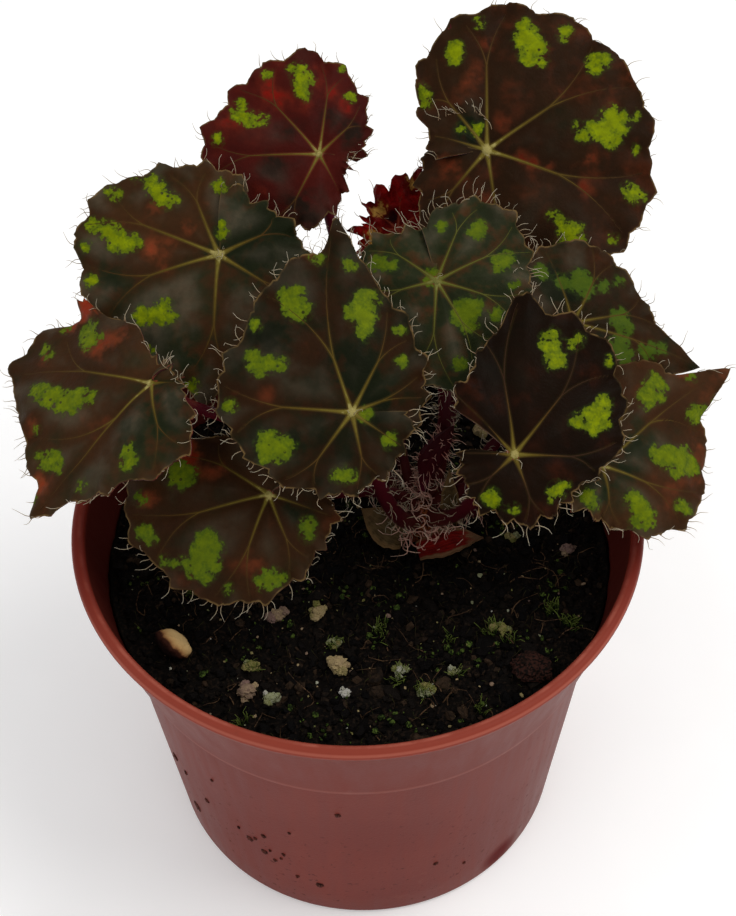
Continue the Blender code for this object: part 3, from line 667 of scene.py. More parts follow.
        stains=((84, 10, 3.0, -0.3), (-94, 5, 3.0, -0.2), (-11, 12, 3.0, 0.15)),
    ),
    leaf(
        8, (25.4, -12, 102.6), 38, -80, -29, (8.5, 8.5, 10, 10, 11, 11, 12, 17.5, 21.3, 24, 23, 15, 13.5),
        (306, 36),
        look=(0.05, 0.92, 0.3), hairs=0.7, notch=166, fade=1.8, tips=((116, 3.5, 12),),
        veins=((120, 12, (110, 128)), (21, 9, (12, 30)), (-49, 7, (-40, -58)), (-115, 5, (-105, -126)),
            (74, 12, (62, 84)), (158, 8, ()), (-160, 5, ())),
        patches=((95, 20.3, 0.9), (96, 18.8, 1), (92, 19, 1.1), (91, 17.2, 1.3), (86, 16.8, 0.8),
            (90, 15.5, 0.6), (83, 21.6, 0.8), (84, 20.1, 0.5), (52, 16.9, 1.1), (48, 15.5, 1.5),
            (48, 13.6, 1.3), (50, 12.1, 1), (41, 13.3, 0.9), (42, 15.9, 0.7), (52, 10.8, 0.4),
            (53, 18, 0.4), (-98, 7.8, 1), (-88, 8.1, 0.5), (-16, 9, 1.1), (-23, 9, 0.8), (-8, 9.6, 0.5),
            (-69, 8.7, 0.5), (67, 22, 0.5)),
        stains=((122, 15, 3.5, -0.2), (88, 10, 3.5, 0.15), (71, 18, 2.5, 0.3), (5, 8, 2.5, 0.25),
            (32, 14, 2.0, 0.2), (-40, 10, 2.5, 0.2), (150, 11, 4.0, 0.3)),
    ),
    leaf(
        9, (40.9, -8, 95), 36, -50, -17, (7, 8, 9, 9, 9.8, 14.8, 19.7, 21.8, 23, 18, 13, 11, 9), (352, 50),
        look=(0.02, 0.58, 1.65), hairs=0.5, tips=((49, 9.5, 11),),
        veins=((56, 12, (53, 36)), (80, 9, (72, 92)), (-1, 8, (7, -14)), (-64, 7, (-54, -75)), (130, 5, ()),
            (-125, 4, ())),
        patches=((70, 19.5, 1.1), (65, 18.7, 1.2), (70, 17.1, 1.4), (69, 15.2, 1.4), (65, 17, 1.1),
            (68, 13.8, 0.7), (45, 21, 1.3), (44, 22.9, 1.3), (40, 23.4, 0.9), (30, 10.4, 1.2),
            (25, 12.6, 1.9), (23, 15.1, 2), (21, 17.6, 1.6), (18, 18.8, 0.8), (16, 14.2, 1),
            (29, 16.9, 0.6), (-31, 7.5, 1.3), (-33, 9.1, 1.5), (-30, 10.9, 1.4), (-33, 12.2, 1),
            (-40, 11.2, 0.8), (-6, 16.2, 1.1), (-5, 17.5, 0.7), (58, 24.9, 0.7), (46, 27.1, 0.5),
            (-105, 6.4, 1.2), (-91, 7.1, 0.8)),
        stains=((52, 30, 2.2, 0.15), (50, 8, 4.0, -0.5), (-3, 3, 4.0, -0.4), (32, 20, 2.5, 0.3),
            (17, 20, 2.2, 0.35), (62, 25, 2.5, 0.3), (-87, 6, 3.0, -0.6)),
    ),
    leaf(
        10, (37.8, 15, 105.4), 36, -65, -20, (10, 10, 11, 12, 13, 16, 18.5, 14.6, 14.3, 14.4, 14, 13, 10),
        (24, 24),
        look=(-0.2, 0.15, 1.2), hairs=0.4, tips=((1, 6, 12),), wave=0.5,
        veins=((4, 11, (2, -12)), (28, 9, (20, 38)), (79, 8, (70, 90)), (-60, 7, (-50, -70)), (125, 6, ()),
            (-120, 5, ())),
        patches=((140, 10.2, 1.2), (96, 7.2, 2.1), (84, 6, 1.2), (123, 7.3, 1), (66, 9, 1), (58, 12, 0.7),
            (24, 8.3, 1.7), (14, 9.6, 1), (-8, 8.8, 1.7), (-14, 10.8, 1.4), (-1, 14.1, 1.5), (4, 16.6, 0.8)),
        stains=((127, 7, 3.5, -0.6), (37, 13, 3.0, 0.1), (2, 14, 2.5, 0.2), (82, 12, 2.5, 0.4),
            (20, 15, 2.0, 0.1)),
    ),
    leaf(
        11, (9.2, 45, 101.7), 30, -85, 40, (7, 7, 10, 11, 12, 12, 11.5, 10.8, 7.8, 6.9, 6.2, 7.2, 7.4),
        (128, 62),
        look=(0.25, 0.8, 0.95), hairs=0.4, bow=(0.9, 1.0), wave=2.0, skin="young",
        veins=((0, 5, (-10, 11)), (48, 5, (38, 60)), (-50, 5, (-40, -62)), (100, 4, ()), (-100, 4, ()),
            (145, 3, ())),
        patches=((97, 5, 1.3), (164, 5, 1.2), (36, 9.6, 0.9), (10, 9, 1.3), (-70, 8, 1.2), (-25, 10, 0.9)),
        stains=((60, 6, 2.5, 0.7), (-60, 5, 3.0, -0.4), (110, 2, 2.5, -0.4), (145, 6, 2.0, 0.5),
            (70, 3, 1.6, -0.7)),
    ),
)
print("leaves:", len(LEAVES), "lime spots:", sum(len(plan["patches"]) for plan in LEAVES))

# %% [markdown]
# The blade's surface.
# turn runs from -1 at one side of the notch round to 1 at the other, and share from 0 at the hub to
# 1 at the margin. blade_surface() gives the place of any such point. It repeats the CAD rule and
# then adds what only the picture needs: sharper teeth, soft quilting between the veins and a
# slightly crumpled margin. A rule is used rather than a sculpted mesh, because veins, hairs and
# colours can then be laid on the same blade by asking it where a point is.

# %% Blade sizes and the surface function
BLADE_DROOP = 2.6
BLADE_WAVE = 0.8
HUB_DISH = 0.7
HUB_DISH_RADIUS = 3.0
NOTCH_END = 190.0
OPEN_NOTCH = 170.0
LOBE_LIFT = 1.15
CAD_COLUMNS = 48
TOOTH = 0.9
TOOTH_COLUMNS = 3


def blade_axes(plan):
    """The blade's own directions: along its middle, to its left, and out of its upper face."""
    lean, toward = plan["lean"], plan["toward"]
    normal = np.array((math.sin(lean) * math.cos(toward), math.sin(lean) * math.sin(toward), math.cos(lean)))
    level = np.array((math.cos(plan["aim"]), math.sin(plan["aim"]), 0.0))
    along = level - normal * level.dot(normal)
    along /= np.linalg.norm(along)
    return along, np.cross(normal, along), normal


def wander(seed, x, y, size):
    """Smooth noise from -1 to 1 over the blade's plane, with lumps of the given size."""
    flat = zip(np.ravel(x) / size, np.ravel(y) / size)
    return np.array([noise.noise(Vector((a, b, seed * 7.31))) for a, b in flat]).reshape(np.shape(x))


def smooth_run(share, start, end, leave, arrive):
    """Runs from start to end as share goes from 0 to 1, with the slope leave at first and arrive at last."""
    cube, square = share ** 3, share ** 2
    first = (2 * cube - 3 * square + 1) * start + (cube - 2 * square + share) * leave
    return first + ((3 * square - 2 * cube) * end + (cube - square) * arrive)


def blade_reach(plan, turn):
    """How far the margin is from the hub."""
    values = plan["reach"]
    place = (turn + 1.0) / 2.0 * (len(values) - 1)
    index = np.clip(place.astype(int), 0, len(values) - 2)
    low, high = values[index], values[index + 1]
    leave = (high - values[np.maximum(index - 1, 0)]) / 2.0
    arrive = (values[np.minimum(index + 2, len(values) - 1)] - low) / 2.0
    reach = smooth_run(place - index, low, high, leave, arrive)
    for angle, extra, width in plan["tips"]:
        off = np.abs(turn * 180.0 - angle) / width
        reach += extra * np.maximum(1.0 - off, 0.0) ** 1.5
    return reach * (1.0 - 0.12 * smooth_step(0.93, 1.0, np.abs(turn)))


def teeth(plan, turn):
    """The saw edge: the CAD's teeth, sharpened, with smaller ones between them."""
    column = (turn + 1.0) / 2.0 * CAD_COLUMNS
    half = TOOTH_COLUMNS / 2.0
    from_peak = np.abs((column - 1.0 + half) % TOOTH_COLUMNS - half)
    large = TOOTH * 1.33 * np.maximum(1.0 - from_peak, 0.0) ** 1.25 - TOOTH / 3.0
    swing = wander(plan["number"] + 20, turn * 9.0, turn * 0.0, 1.0)
    scallop = 0.5 - np.abs(((column + swing) * 0.61) % 1.0 - 0.35) * 1.2
    small = 0.25 - np.abs((column * 2.3 + swing * 2.0) % 1.0 - 0.5)
    return large + 1.0 * scallop + 0.25 * small + 0.6 * swing


def half_angle(plan, radius):
    """Half the angle that the blade fills at this distance. Most back lobes lap over each other."""
    end = NOTCH_END if plan["notch"] > OPEN_NOTCH else plan["notch"]
    return np.radians(plan["notch"] + (end - plan["notch"]) * smooth_step(0.0, 4.0, radius))


def blade_surface(plan, turn, share, relief=0.0):
    """Points of the upper face in millimetres, and where they are in the blade's plane."""
    reach = blade_reach(plan, turn) + plan["wave"] * teeth(plan, turn) * smooth_step(0.7, 1.0, share)
    radius = reach * share
    angle = half_angle(plan, radius) * turn
    x, y = radius * np.cos(angle), radius * np.sin(angle)
    height = -HUB_DISH * np.exp(-((radius / HUB_DISH_RADIUS) ** 2))
    height -= BLADE_DROOP * share ** 2 * (radius / (radius + 6.0))
    height += plan["wave"] * BLADE_WAVE * share ** 2 * np.sin(5.0 * turn * math.pi + plan["hub"][0])
    height += np.sign(turn) * LOBE_LIFT * smooth_step(0.7, 1.0, np.abs(turn)) * smooth_step(2.0, 8.0, radius)
    height += relief
    along, left, normal = blade_axes(plan)
    points = plan["hub"] + x[..., None] * along + y[..., None] * left + height[..., None] * normal
    return points, x, y, radius, angle


def on_blade(plan, x, y):
    """The turn and share of a point of the blade's plane."""
    radius = np.hypot(x, y)
    turn = np.clip(np.arctan2(y, x) / half_angle(plan, radius), -1.0, 1.0)
    return turn, np.minimum(radius / blade_reach(plan, turn), 1.0)


reaches = [float(blade_reach(plan, np.linspace(-1.0, 1.0, CAD_COLUMNS + 1)).max()) for plan in LEAVES]
print("reach of each blade in mm:", [round(reach, 1) for reach in reaches])

# %% [markdown]
# Vein lines.
# A begonia leaf has four to seven main veins that leave the hub like spokes, and most of them fork.
# Each trunk is a line from the hub to its fork, and each branch bends away from it in an arc.
# The lines are worked out once, in the blade's plane, and used three times: to press the blade in
# along them, to tint it beside them, and to lay the raised veins themselves.

# %% Vein lines of one leaf
VEIN_HALF = 0.15
BLOTCH_BLEND = 0.35
HUB_SPREAD = 0.55
HUB_SIZE = 1.1
LINE_STEPS = 12
FAR = 99.0
ACROSS_NOTCH = 110.0


def polar(angle, distance):
    return np.array((math.cos(math.radians(angle)), math.sin(math.radians(angle)))) * distance


def vein_lines(plan):
    """Lists of (points in the plane, half widths, angle of the whole vein)."""
    lines = []
    steps = np.linspace(0.0, 1.0, LINE_STEPS)[:, None]
    from_hub = steps ** 1.7
    size = min(plan["reach"].mean() / 17.0, 1.1)

    def reach_at(angle):
        return blade_reach(plan, np.array([angle / 180.0]))[0]

    def keep(line, start, end, angle):
        spread = HUB_SPREAD * np.exp(-np.linalg.norm(line, axis=1) / HUB_SIZE)
        lines.append((line, (VEIN_HALF * np.linspace(start, end, LINE_STEPS) + spread) * size, angle))

    for angle, fork, ends in plan["veins"]:
        reach = reach_at(angle)
        back = polar(angle, -0.3)
        if not ends:
            keep(back + (polar(angle, 0.93 * reach) - back) * from_hub, 1.0, 0.3, angle)
            continue
        start = polar(angle, min(fork, 0.62 * reach))
        keep(back + (start - back) * from_hub, 1.1, 0.95, angle)
        for end in ends:
            far = polar(end, 0.95 * reach_at(end))
            middle = start + polar(angle, 0.45 * np.linalg.norm(far - start)) * 0.7 + (far - start) * 0.2
            arc = (1 - steps) ** 2 * start + 2 * steps * (1 - steps) * middle + steps ** 2 * far
            keep(arc, 0.8, 0.25, angle)
    return lines


def vein_distance(lines, x, y, angle):
    """Distance from each point to the edge of the nearest vein on its own side of the notch."""
    nearest = np.full(x.shape, FAR)
    for line, widths, vein_angle in lines:
        for start, end, half_start, half_end in zip(line, line[1:], widths, widths[1:]):
            run = end - start
            share = ((x - start[0]) * run[0] + (y - start[1]) * run[1]) / max(run.dot(run), 1e-9)
            share = np.clip(share, 0.0, 1.0)
            away = np.hypot(x - start[0] - run[0] * share, y - start[1] - run[1] * share)
            away = away - (half_start + (half_end - half_start) * share)
            away = np.where(np.abs(np.degrees(angle) - vein_angle) > ACROSS_NOTCH, FAR, away)
            nearest = np.minimum(nearest, away)
    return nearest


vein_plan = {plan["name"]: vein_lines(plan) for plan in LEAVES}
print("vein lines:", sum(len(lines) for lines in vein_plan.values()))

# %% [markdown]
# Blotches and stains.
# A ragged blotch is a few round spots that melt into each other, and a stain is a soft round cloud.
# Both are read at every point of the blade, so that the shader has numbers to work on.

# %% Depth in a blotch, and warmth
def patch_depth(plan, x, y):
    """How deep each point lies inside a blotch in millimetres; below 0 outside all of them."""
    total = np.full(x.shape, 1e-12)
    for angle, distance, radius in plan["patches"]:
        centre = polar(angle, distance)
        away = np.hypot(x - centre[0], y - centre[1])
        total += np.exp(np.minimum(radius - away, 9.0) / BLOTCH_BLEND)
    return BLOTCH_BLEND * np.log(total)


def stain_warmth(plan, x, y):
    """How red (above 0) or green-black (below 0) the blade is at each point."""
    warmth = np.full(x.shape, float(plan["look"][0]))
    for angle, distance, size, amount in plan["stains"]:
        centre = polar(angle, distance)
        warmth += amount * np.exp(-(((x - centre[0]) ** 2 + (y - centre[1]) ** 2) / size ** 2))
    return warmth


print("stains:", sum(len(plan["stains"]) for plan in LEAVES))

# %% [markdown]
# Meshes from numbers.
# new_piece() turns points in millimetres and lists of faces into an object. A mesh that was made
# by rule can have its faces turned inwards, so the normals are worked out afresh, and edges sharper
# than a given angle stay sharp. Extra numbers, such as the depth in a blotch, are stored point by
# point under a name that the shader reads.

# %% Mesh helpers
def store(mesh, kind, key, fields):
    """Puts named numbers or directions on a mesh, point by point."""
    for label, values in (fields or {}).items():
        flat = np.ravel(values).astype(np.float32)
        mesh.attributes.new(label, kind, "POINT").data.foreach_set(key, flat)


def rework(mesh, change):
    """Opens a mesh for editing, lets change() work on it, and writes it back."""
    work = bmesh.new()
    work.from_mesh(mesh)
    change(work)
    work.to_mesh(mesh)
    work.free()


def turn_outwards(work):
    bmesh.ops.recalc_face_normals(work, faces=work.faces)


def smooth_up_to(mesh, angle):
    """Smooth shading, with a sharp edge wherever two faces meet at more than the angle."""
    mesh.shade_smooth()
    mesh.set_sharp_from_angle(angle=math.radians(angle))


def place_in_scene(name, mesh):
    piece = bpy.data.objects.new(name, mesh)
    bpy.context.scene.collection.objects.link(piece)
    return piece


def new_piece(name, points, faces, finishes, values=None, finish_of=None, sharp=60.0, recalculate=True):
    mesh = bpy.data.meshes.new(name)
    mesh.from_pydata(np.asarray(points) * MM, [], faces)
    for made in finishes:
        mesh.materials.append(made)
    if finish_of is not None:
        mesh.polygons.foreach_set("material_index", finish_of)
    store(mesh, "FLOAT", "value", values)
    if recalculate:
        rework(mesh, turn_outwards)
    smooth_up_to(mesh, sharp)
    return place_in_scene(name, mesh)


def ring_faces(rows, sides, flip=False):
    """Four-sided faces between rings of points that lie row after row. flip turns them over."""
    faces = []
    for low in range(0, (rows - 1) * sides, sides):
        high = low + sides
        for side in range(sides):
            beside = (side + 1) % sides
            face = (low + side, low + beside, high + beside, high + side)
            faces.append((face[0], *reversed(face[1:])) if flip else face)
    return faces


def closed_tube(rows, sides):
    """The faces of a tube made of rings, with both ends closed."""
    first, last = range(sides), range((rows - 1) * sides, rows * sides)
    return ring_faces(rows, sides) + [tuple(reversed(first)), tuple(last)]


def gather(lumps):
    """One list of points and one of faces from several."""
    all_points, all_faces = [], []
    for points, faces in lumps:
        first = len(all_points)
        all_points += points
        all_faces += [tuple(first + corner for corner in face) for face in faces]
    return all_points, all_faces


def triangles(piece):
    return sum(len(face.vertices) - 2 for face in piece.data.polygons)


def hand_over(piece, slot, *nodes):
    """Says what the piece moves with and hides the CAD solids that it stands for. slot is not used."""
    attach(piece, "root")
    if nodes:
        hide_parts(*nodes)
    print(piece.name, triangles(piece), "triangles")
    return piece


# %% [markdown]
# One blade.
# The blade is a fan-shaped grid of rows and columns round the hub. The upper side is fine enough
# for teeth and quilting. The lower side has the same columns but only every fourth row, because it
# lies in shade and has no quilting to show. The two sides are joined round the margin and along the
# notch, so the blade is a closed sheet that thins towards its edge.

# %% The blade's relief and faces
BLADE_COLUMNS = 288
BLADE_ROWS = 56
UNDER_EVERY = 4
BLADE_THICKNESS = 0.45
GROOVE_DEPTH, GROOVE_WIDTH = 0.16, 0.7
QUILT_HEIGHT, QUILT_WIDTH = 0.6, 3.2
RIPPLE = 0.28
OUTSIDE_BLOTCH = -9.0
INSIDE_MARGIN = 9.0


def blade_relief(plan, turn, share, x, y, away):
    """How far the upper face is pressed in along the veins, quilted between them and crumpled."""
    seed = plan["number"]
    away = np.maximum(away, 0.0)
    groove = -GROOVE_DEPTH * np.exp(-((away / GROOVE_WIDTH) ** 2)) * (1.0 - 0.6 * share)
    if plan["skin"] == "young":
        folds = 1.5 * wander(seed, x, y, 2.4) + 0.8 * wander(seed + 3, x, y, 1.1)
        relief = groove + folds * smooth_step(0.15, 0.6, share) + 1.6 * share ** 3
        return relief + 0.9 * np.sin(turn * math.pi * 11.0) * smooth_step(0.55, 1.0, share)
    quilt = QUILT_HEIGHT * (1.0 - np.exp(-((away / QUILT_WIDTH) ** 2))) * smooth_step(0.05, 0.3, share)
    crumple = 0.5 * wander(seed, x, y, 7.0) * smooth_step(0.2, 0.8, share)
    crumple += 0.75 * wander(seed + 40, x, y, 3.2) * smooth_step(0.72, 1.0, share)
    waves = np.sin(turn * math.pi * 2.0 * CAD_COLUMNS / TOOTH_COLUMNS)
    ripple = RIPPLE * waves * smooth_step(0.8, 1.0, share)
    return groove + quilt - 0.35 + crumple + ripple


def strip_faces(upper, lower, every):
    """Joins the fine row of points at a side of the notch to the coarse row under it."""
    faces = []
    for step in range(len(lower) - 1):
        first = 0 if step == 0 else every * step
        last = every * (step + 1)
        for place in range(first, last):
            faces.append((upper[place], upper[place + 1], lower[step]))
        faces.append((upper[last], lower[step + 1], lower[step]))
    return faces


def blade_faces(rows, low_rows, columns):
    """Faces of the closed blade: the upper face first, and how many faces that is."""
    width = columns + 1
    under_hub = 1 + rows * width

    def top(row, column):
        return 1 + row * width + column

    def low(row, column):
        return under_hub + 1 + row * width + column

    def cell(side, row, column):
        corners = ((row, column), (row + 1, column), (row + 1, column + 1), (row, column + 1))
        return tuple(side(*corner) for corner in corners)

    faces = []
    for column in range(columns):
        faces.append((0, top(0, column), top(0, column + 1)))
        faces += [cell(top, row, column) for row in range(rows - 1)]
    upper_count = len(faces)
    for column in range(columns):
        faces.append((under_hub, low(0, column + 1), low(0, column)))
        faces += [cell(low, row, column)[::-1] for row in range(low_rows - 1)]
        inner = low(low_rows - 1, column), low(low_rows - 1, column + 1)
        faces.append((top(rows - 1, column), *inner, top(rows - 1, column + 1)))
    for column in (0, columns):
        upper = [0] + [top(row, column) for row in range(rows)]
        lower = [under_hub] + [low(row, column) for row in range(low_rows)]
        faces += strip_faces(upper, lower, UNDER_EVERY)
    return faces, upper_count


print("faces on top of a grown blade:", blade_faces(BLADE_ROWS, BLADE_ROWS // UNDER_EVERY, BLADE_COLUMNS)[1])

# %% [markdown]
# Making all the blades.
# Each blade gets its points, its faces and the seven numbers that the leaf pattern reads. The
# underside repeats the kept rows of those numbers, one thickness lower.

# %% Make the blades
def make_blade(plan, lines):
    columns = BLADE_COLUMNS // 2 if plan["skin"] == "young" else BLADE_COLUMNS
    rows = BLADE_ROWS
    outwards, round_hub = np.arange(1, rows + 1) / rows, np.linspace(-1.0, 1.0, columns + 1)
    share, turn = np.meshgrid(outwards, round_hub, indexing="ij")
    _, x, y, radius, angle = blade_surface(plan, turn, share)
    away = vein_distance(lines, x, y, angle)
    relief = blade_relief(plan, turn, share, x, y, away)
    points, x, y, radius, angle = blade_surface(plan, turn, share, relief)
    normal = blade_axes(plan)[2]
    hub = plan["hub"] - normal * HUB_DISH
    kept = [row for row in range(rows) if row % UNDER_EVERY == UNDER_EVERY - 1]
    thickness = BLADE_THICKNESS * (1.0 - 0.55 * smooth_step(0.8, 1.0, share[kept]))
    under = points[kept] - thickness[..., None] * normal
    under_hub = hub - normal * BLADE_THICKNESS
    all_points = np.concatenate(([hub], points.reshape(-1, 3), [under_hub], under.reshape(-1, 3)))
    rim = (1.0 - share) * blade_reach(plan, turn)
    rim = np.minimum(rim, (1.0 - np.abs(turn)) * math.pi * radius + 0.2)
    warm, glow, shade = plan["look"]
    fields = {
        "patch": (patch_depth(plan, x, y), OUTSIDE_BLOTCH),
        "vein": (away, 0.0),
        "rim": (rim, INSIDE_MARGIN),
        "warmth": (stain_warmth(plan, x, y), warm),
        "share": (share * plan["fade"], 0.0),
        "glow": (np.full(share.shape, glow), glow),
        "shade": (np.full(share.shape, shade), shade),
    }
    values = {}
    for label, (field, at_hub) in fields.items():
        values[label] = np.concatenate(([at_hub], field.ravel(), [at_hub], field[kept].ravel()))
    faces, upper_count = blade_faces(rows, len(kept), columns)
    finish_of = [0] * upper_count + [1] * (len(faces) - upper_count)
    finishes = (blade_finishes[plan["skin"]], leaf_under)
    piece = new_piece("begonia_" + plan["name"], all_points, faces, finishes, values, finish_of, sharp=80.0)
    hand_over(piece, plan["slot"], plan["name"] + "_blade")
    return points, relief


blades = {plan["name"]: make_blade(plan, vein_plan[plan["name"]]) for plan in LEAVES}

# %% [markdown]
# Geometry Nodes helpers.
# What repeats or follows a path is made by Geometry Nodes: veins and stalks along lines, hairs on
# edges and faces, crumbs on the soil. grow() puts a tree on a starting mesh, sets its inputs by
# their identifiers, and takes the result as a plain mesh, so that nothing live is left behind.

# %% Helpers for Geometry Nodes
def guide(name, points, edges=(), faces=(), numbers=None, vectors=None):
    """A starting mesh for a tree: points in millimetres, with numbers and directions on them."""
    mesh = bpy.data.meshes.new(name)
    mesh.from_pydata(np.asarray(points) * MM, edges, faces)
    store(mesh, "FLOAT", "value", numbers)
    store(mesh, "FLOAT_VECTOR", "vector", vectors)
    return mesh


def chain(count, first=0):
    """Edges that join count points in a row."""
    return [(first + step, first + step + 1) for step in range(count - 1)]


def grow(name, mesh, tree, **inputs):
    """The mesh that the tree makes from a starting mesh, as a plain smooth piece."""
    piece = place_in_scene(name, mesh)
    modifier = piece.modifiers.new("growth", "NODES")
    modifier.node_group = tree
    for item in tree.interface.items_tree:
        label = item.name.replace(" ", "_").lower()
        if item.in_out == "INPUT" and label in inputs:
            modifier[item.identifier] = inputs[label]
    graph = bpy.context.evaluated_depsgraph_get()
    evaluated = piece.evaluated_get(graph)
    grown = bpy.data.meshes.new_from_object(evaluated, preserve_all_data_layers=True, depsgraph=graph)
    piece.modifiers.clear()
    piece.data = grown
    grown.shade_smooth()
    return piece


def named(tree, name, kind="FLOAT"):
    return add(tree, "GeometryNodeInputNamedAttribute", {"Name": name}, data_type=kind).outputs["Attribute"]


def mark(tree, geometry, name, value, kind="FLOAT", domain="POINT"):
    """Stores a number or direction on what the tree has made."""
    feeds = {"Geometry": geometry, "Name": name, "Value": value}
    return add(tree, "GeometryNodeStoreNamedAttribute", feeds, data_type=kind, domain=domain).outputs[0]


def dice(tree, low, high, seed, kind="FLOAT"):
    """A random number or direction for each element."""
    sockets = {"FLOAT": (2, 3, 1), "FLOAT_VECTOR": (0, 1, 0)}[kind]
    feeds = {sockets[0]: low, sockets[1]: high, 8: seed}
    return add(tree, "FunctionNodeRandomValue", feeds, data_type=kind).outputs[sockets[2]]


def ring_of(tree, radius, points):
    feeds = {"Resolution": points, "Radius": radius}
    return add(tree, "GeometryNodeCurvePrimitiveCircle", feeds).outputs["Curve"]


def sweep(tree, line, section, scale=1.0, capped=True):
    feeds = {"Curve": line, "Profile Curve": section, "Scale": scale, "Fill Caps": capped}
    return add(tree, "GeometryNodeCurveToMesh", feeds).outputs[0]


def cloud_shift(tree, scale, detail, amount):
    """A push in a random direction that changes smoothly from place to place."""
    spot = add(tree, "GeometryNodeInputPosition").outputs[0]
    cloud = add(tree, "ShaderNodeTexNoise", {"Vector": spot, "Scale": scale, "Detail": detail})
    feeds = {0: cloud.outputs["Color"], 1: (0.5, 0.5, 0.5)}
    centred = add(tree, "ShaderNodeVectorMath", feeds, operation="SUBTRACT").outputs[0]
    return scaled(tree, centred, amount)


def move(tree, geometry, offset):
    return add(tree, "GeometryNodeSetPosition", {"Geometry": geometry, "Offset": offset}).outputs[0]


def end_tree(tree, result, geometry, material):
    """Every tree ends the same way: copies are made real and the finish is put on."""
    whole = add(tree, "GeometryNodeRealizeInstances", {"Geometry": geometry})
    painted = add(tree, "GeometryNodeSetMaterial", {"Geometry": whole.outputs[0], "Material": material})
    give(tree, result, Mesh=painted.outputs[0])
    return tree


print("edges of a chain of four points:", chain(4))

# %% [markdown]
# Round stalks and raised veins.
# Both are tubes along a line whose thickness changes on the way, so one tree makes both. The line's
# points carry their half thickness, and the tree sweeps a small ring along the line scaled by it.

# %% The tube tree
def make_tube_tree():
    takes = {"Lines": "mesh", "Sides": 8, "Finish": "finish"}
    tree, given, result = new_tree("tubes along lines", "GeometryNodeTree", takes, {"Mesh": "mesh"})
    lines = add(tree, "GeometryNodeMeshToCurve", {"Mesh": given["Lines"]}).outputs[0]
    swept = sweep(tree, lines, ring_of(tree, MM, given["Sides"]), named(tree, "half"))
    return end_tree(tree, result, swept, given["Finish"])


tube_tree = make_tube_tree()
print("nodes in the tube tree:", len(tube_tree.nodes))

# %% [markdown]
# Laying the veins.
# A vein stands up from the blade as a low ridge. Each tube is sunk in the finished blade, crumples
# and all, so that only the top of it shows. A painted line would stay flat where light grazes it.

# %% Lay the veins
SUNK = 0.72
SHOWN = math.sqrt(1.0 - SUNK ** 2)
VEIN_SIDES = 8


def laid_on(plan, line):
    """The places on the finished blade of a line given in its plane, and their shares."""
    blade_points, relief = blades[plan["name"]]
    rows, width = relief.shape
    turn, share = on_blade(plan, line[:, 0], line[:, 1])
    row = np.clip(share * rows - 1.0, 0.0, rows - 1.001)
    column = np.clip((turn + 1.0) / 2.0 * (width - 1), 0.0, width - 1.001)
    r, c = row.astype(int), column.astype(int)
    down, across = (row - r)[:, None], (column - c)[:, None]
    near = blade_points[r, c] * (1 - across) + blade_points[r, c + 1] * across
    far = blade_points[r + 1, c] * (1 - across) + blade_points[r + 1, c + 1] * across
    surface = near * (1 - down) + far * down
    hub = plan["hub"] - blade_axes(plan)[2] * HUB_DISH
    inner = np.clip(share * rows, 0.0, 1.0)[:, None]
    return hub * (1 - inner) + surface * inner, share


def make_veins(plan, lines):
    """Raised veins, sunk in the blade so that only a low ridge shows."""
    points, halves, shares, edges = [], [], [], []
    normal = blade_axes(plan)[2]
    for line, widths, _ in lines:
        surface, share = laid_on(plan, line)
        half = widths / SHOWN
        edges += chain(len(line), len(points))
        points += list(surface - normal * (half * SUNK)[:, None])
        halves += list(half)
        shares += list(share * plan["fade"])
    numbers = {"half": halves, "share": shares, "warmth": [plan["look"][0]] * len(halves)}
    mesh = guide(plan["name"] + "_lines", points, edges, numbers=numbers)
    veins = young_vein_finish if plan["skin"] == "young" else vein_finish
    piece = grow("begonia_" + plan["name"] + "_veins", mesh, tube_tree, sides=VEIN_SIDES, finish=veins)
    hand_over(piece, plan["slot"])


for plan in LEAVES:
    make_veins(plan, vein_plan[plan["name"]])

# %% [markdown]
# Stalks.
# Every leaf stands on its own stalk, which leaves the crown on one side and curves up to the middle
# of its blade. The route is the CAD's, with more points. The stalk swells a little where it leaves
# the crown and where it spreads into the hub, and it is slightly uneven, as a living stem is.

# %% Make the stalks
CROWN_AT = (11.6, 6.8)
CROWN_RADIUS = 5.3
CROWN_SHOULDER = 66.0
CAD_BLADE_THICKNESS = 0.7
STALK_RADIUS = 1.35
STALK_POINTS = 48
STALK_SIDES = 18
GAP = 0.3
INTO_CROWN = 1.6
INTO_BLADE = 0.55


def stalk_route(plan):
    azimuth, elevation = (math.radians(angle) for angle in plan["foot"])
    level = math.cos(elevation)
    out = np.array((level * math.cos(azimuth), level * math.sin(azimuth), math.sin(elevation)))
    head = np.array((*CROWN_AT, CROWN_SHOULDER))
    normal = blade_axes(plan)[2]
    start = head + out * (CROWN_RADIUS + GAP)
    end = plan["hub"] - normal * (HUB_DISH + CAD_BLADE_THICKNESS + GAP)
    span = np.linalg.norm(end - start)
    leave, arrive = plan["bow"]
    share = np.linspace(0.0, 1.0, STALK_POINTS)[:, None]
    route = smooth_run(share, start, end, span * leave * out, span * arrive * normal)
    return np.concatenate(([start - out * INTO_CROWN], route, [end + normal * INTO_BLADE]))


